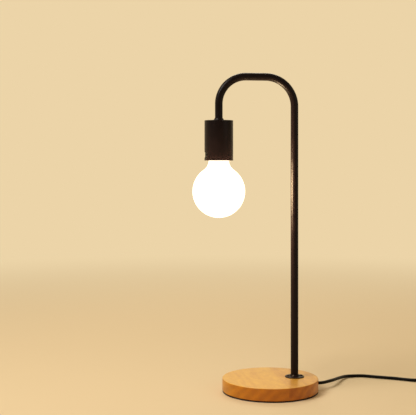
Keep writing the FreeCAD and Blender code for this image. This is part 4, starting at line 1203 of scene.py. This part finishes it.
def ribTree():
    # low rounded ribs in a row, on both faces
    tree, add, size = startTree("gripRibs", {
        "Length": "Float", "Width": "Float", "Rise": "Float", "Count": "Int", "First": "Vector",
        "Step": "Vector", "Across": "Vector",
    })
    ball = add("GeometryNodeMeshUVSphere", {"Segments": 20, "Rings": 12, "Radius": 1.0})
    form = add("ShaderNodeCombineXYZ", {0: size["Length"], 1: size["Width"], 2: size["Rise"]})
    line = add("GeometryNodeMeshLine", {
        "Count": size["Count"], "Start Location": size["First"], "Offset": size["Step"],
    })
    row = add("GeometryNodeInstanceOnPoints", {"Points": line, "Instance": ball, "Scale": form})
    other = add("GeometryNodeTransform", {"Geometry": row, "Translation": size["Across"]})
    endTree(add, size, add("GeometryNodeJoinGeometry", {0: [row, other]}))
    return tree


def makePlugGrip():
    g = gripParts
    grip = growPiece(addMesh("plugGrip", [(0, 0, 0)]), ribTree(), "extrudedPvc", {
        **g, "First": (plugMiddle.x, plugLow.y + g["start"], plugLow.z + g["Rise"]),
        "Across": (0, 0, plugHigh.z - plugLow.z - 2 * g["Rise"]),
    })
    return finishPiece(smooth(grip), "extrudedPvc", "plug_pvc")


def pinPair(name, profile, look, slot, node):
    both = bmesh.new()
    for side in (-0.5, 0.5):
        one = lathe(name, profile, segments=pinParts["segments"])
        layDown(one, "X", (plugMiddle.x + side * pinParts["spread"], plugLow.y, plugMiddle.z))
        both.from_mesh(one.data)
        bpy.data.objects.remove(one)
    pair = addMesh(name)
    both.to_mesh(pair.data)
    both.free()
    return finishPiece(smooth(pair), look, slot, node)


def makePins():
    p = pinParts
    radius = p["radius"]
    core = p["coreRadius"]
    bare = p["sleeveLength"]
    pin = [
        (0, -p["seat"]), (core, -p["seat"]), (core, bare), (radius - p["step"], bare),
        (radius, bare + p["step"]),
        *roundCorner((radius, p["length"]), p["tip"], 0, 90, 6), (0, p["length"]),
    ]
    sleeve = [
        (core + p["fit"], 0), (p["sleeveRadius"], 0), (p["sleeveRadius"], bare),
        (core + p["fit"], bare),
    ]
    return (
        pinPair("plugPins", pin, "nickelPlatedBrass", "nickel_brass", "plug_pins"),
        pinPair("pinSleeves", sleeve, "mouldedPlastic", "black_plastic", "pin_sleeves"),
    )


plugBody = makePlug()
plugGrip = makePlugGrip()
plugPins, pinSleeves = makePins()
print("plug moulded")


# cords

cordParts = {"diameter": 5.0, "resolution": 10, "sides": 8}
coilParts = {
    "centre": (373.5, -17.6), "radius": 39.6, "pitch": 5.5, "turns": 7.25, "low": 3.35,
    "layer": 5.45, "reverse": 0.25, "perTurn": 16, "startAngle": 90,
}
leadRoute = [
    (0.0754, 0.0, 0.0101), (0.0842, 0.0, 0.0101), (0.0963, 0.0085, 0.0101),
    (0.1027, 0.0141, 0.0099), (0.1087, 0.0213, 0.0092), (0.1172, 0.0346, 0.0077),
    (0.1266, 0.0492, 0.0056), (0.1357, 0.0626, 0.0039), (0.1461, 0.0709, 0.0029),
    (0.1584, 0.0725, 0.00255), (0.1707, 0.0724, 0.0025), (0.1826, 0.0659, 0.0025),
    (0.1993, 0.0556, 0.0025), (0.2208, 0.0446, 0.0025), (0.2382, 0.0305, 0.0025),
    (0.2539, 0.0215, 0.0033), (0.268, 0.022, 0.007), (0.278, 0.022, 0.007),
]
runRoute = [
    (0.34, 0.022, 0.007), (0.3458, 0.022, 0.007), (0.3514, 0.022, 0.0061),
    (0.3568, 0.022, 0.0043), (0.3624, 0.022, 0.00335), (0.3685, 0.022, 0.00335),
]
tailRoute = [
    (0.4131, -0.0226, 0.0088), (0.4131, -0.0296, 0.0088), (0.4131, -0.041, 0.00685),
    (0.4131, -0.05, 0.00685),
]


def coilPoints():
    # control points of the turns: in on the lower layer, out again on the upper one
    c = coilParts
    half = c["turns"] / 2
    reverse = c["reverse"]
    stretch = 1 / math.cos(math.pi / c["perTurn"])  # the spline runs inside its points
    points = []
    for i in range(round(c["turns"] * c["perTurn"])):
        along = (i + 0.5) / c["perTurn"]
        away = abs(along - half)
        inwards = half - away
        if away < reverse:
            inwards = half - reverse / 2 - away ** 2 / (2 * reverse)
        radius = (c["radius"] - c["pitch"] * inwards) * stretch
        height = c["low"] + c["layer"] * ease((along - half + reverse) / (2 * reverse))
        angle = math.radians(c["startAngle"]) - turn * along
        x = c["centre"][0] + radius * math.cos(angle)
        y = c["centre"][1] + radius * math.sin(angle)
        points.append((x * mm, y * mm, height * mm))
    return points


def addCord(name, points):
    curve = bpy.data.curves.new(name, "CURVE")
    curve.dimensions = "3D"
    curve.resolution_u = cordParts["resolution"]
    curve.bevel_depth = cordParts["diameter"] / 2 * mm
    curve.bevel_resolution = cordParts["sides"]
    curve.use_fill_caps = True
    spline = curve.splines.new("NURBS")
    spline.points.add(len(points) - 1)
    for point, place in zip(spline.points, points):
        point.co = (*place, 1)
    spline.order_u = 3
    spline.use_endpoint_u = True
    return addObject(name, curve)


tieParts = {
    "angle": 225, "width": 8.0, "thickness": 0.8, "edge": 0.25, "corner": 3.3, "lap": 0.5,
    "steps": 8,
}


def makeTie():
    # flat strap round all the turns, its end lapped over on top
    t = tieParts
    low, high = cornersOf("coil_tie")
    centreX, centreY = coilParts["centre"]
    lean = math.radians(t["angle"])
    outward = Vector((math.cos(lean), math.sin(lean)))
    side = t["width"] / 2
    edge = t["edge"]
    thick = t["thickness"]
    # distance from the coil's middle to the strap's two ends, from the box of its node
    share = abs(outward.x)
    inner = (centreX + side * share - high.x) / share
    outer = (centreX - side * share - low.x) / share
    section = (
        (0, side - edge), (edge, side), (thick - edge, side), (thick, side - edge),
        (thick, edge - side), (thick - edge, -side), (edge, -side), (0, edge - side),
    )
    middle = Vector(((inner + outer) / 2, (low.z + high.z) / 2))
    rings = []
    for along, up in roundedOutline((inner, low.z), (outer, high.z), t["corner"], t["steps"]):
        away = Vector((along, up)) - middle
        lap = t["lap"] if away.x > 0 and away.y > 0 else 0
        ring = []
        for depth, offset in section:
            pull = (depth - (lap if depth < thick / 2 else 0)) / away.length
            r = along - away.x * pull / 2
            x = centreX + outward.x * r - outward.y * offset
            y = centreY + outward.y * r + outward.x * offset
            ring.append((x, y, up - away.y * pull))
        rings.append(ring)
    rings.append(rings[0])
    tie = smooth(skin("coilTie", rings, closeEnds=False))
    return finishPiece(tie, "strapRubber", "tie_rubber", "coil_tie")


coilTie = makeTie()
leadCord = addCord("leadCord", leadRoute)
plugCord = addCord("plugCord", runRoute + coilPoints() + tailRoute)
finishPiece(leadCord, "extrudedPvc", "cord_pvc", "cord_lead")
finishPiece(plugCord, "extrudedPvc", "cord_pvc", "cord_run", "cord_coil", "cord_tail")
print("cords laid")


# inner pieces that keep their CAD form

innerPieces = {
    "mouldedPlastic": ("cord_clamp", "holder_cap"),
    "zincPlatedSteel": ("clamp_screws", "terminal_screws", "holder_nipple", "holder_nut"),
    "extrudedPvc": ("inner_cord", "switch_cord_ends"),
    "pressedSteatite": ("holder_insert",),
    "rolledBrass": ("centre_contact", "switch_contacts"),
    "extrudedCorePvc": ("core_wires",),
    "clearGlass": ("bulb_stem",),
    "phosphorSilicone": ("led_filaments",),
}
for look, names in innerPieces.items():
    for name in names:
        paint(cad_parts[name], look)
print("inner pieces painted")


# light of the lit bulb

bulbLight = {"power": 7.0, "colour": "#ffdaa6", "offGlass": 0.4}


def makeBulbLight():
    # a ball of light round the globe, only for the black pieces that mirror it: the studio
    # lamps already show the wood and the glass at their own colours
    light = bpy.data.lights.new("bulbLight", "POINT")
    light.shadow_soft_size = (globeRadius + bulbLight["offGlass"]) * mm
    light.use_soft_falloff = False
    light.energy = bulbLight["power"]
    light.color = srgb(bulbLight["colour"])[:3]
    ball = addObject("bulbLight", light)
    ball.location = (dropX * mm, 0, globeMiddle * mm)
    ball.visible_camera = False
    lit = bpy.data.collections.new("litByBulb")
    for piece in (lampTube, cupCollar, socketCup, holderSkirt, baseFlange, flangeScrews):
        lit.objects.link(piece)
    ball.light_linking.receiver_collection = lit


makeBulbLight()
print("bulb lit")
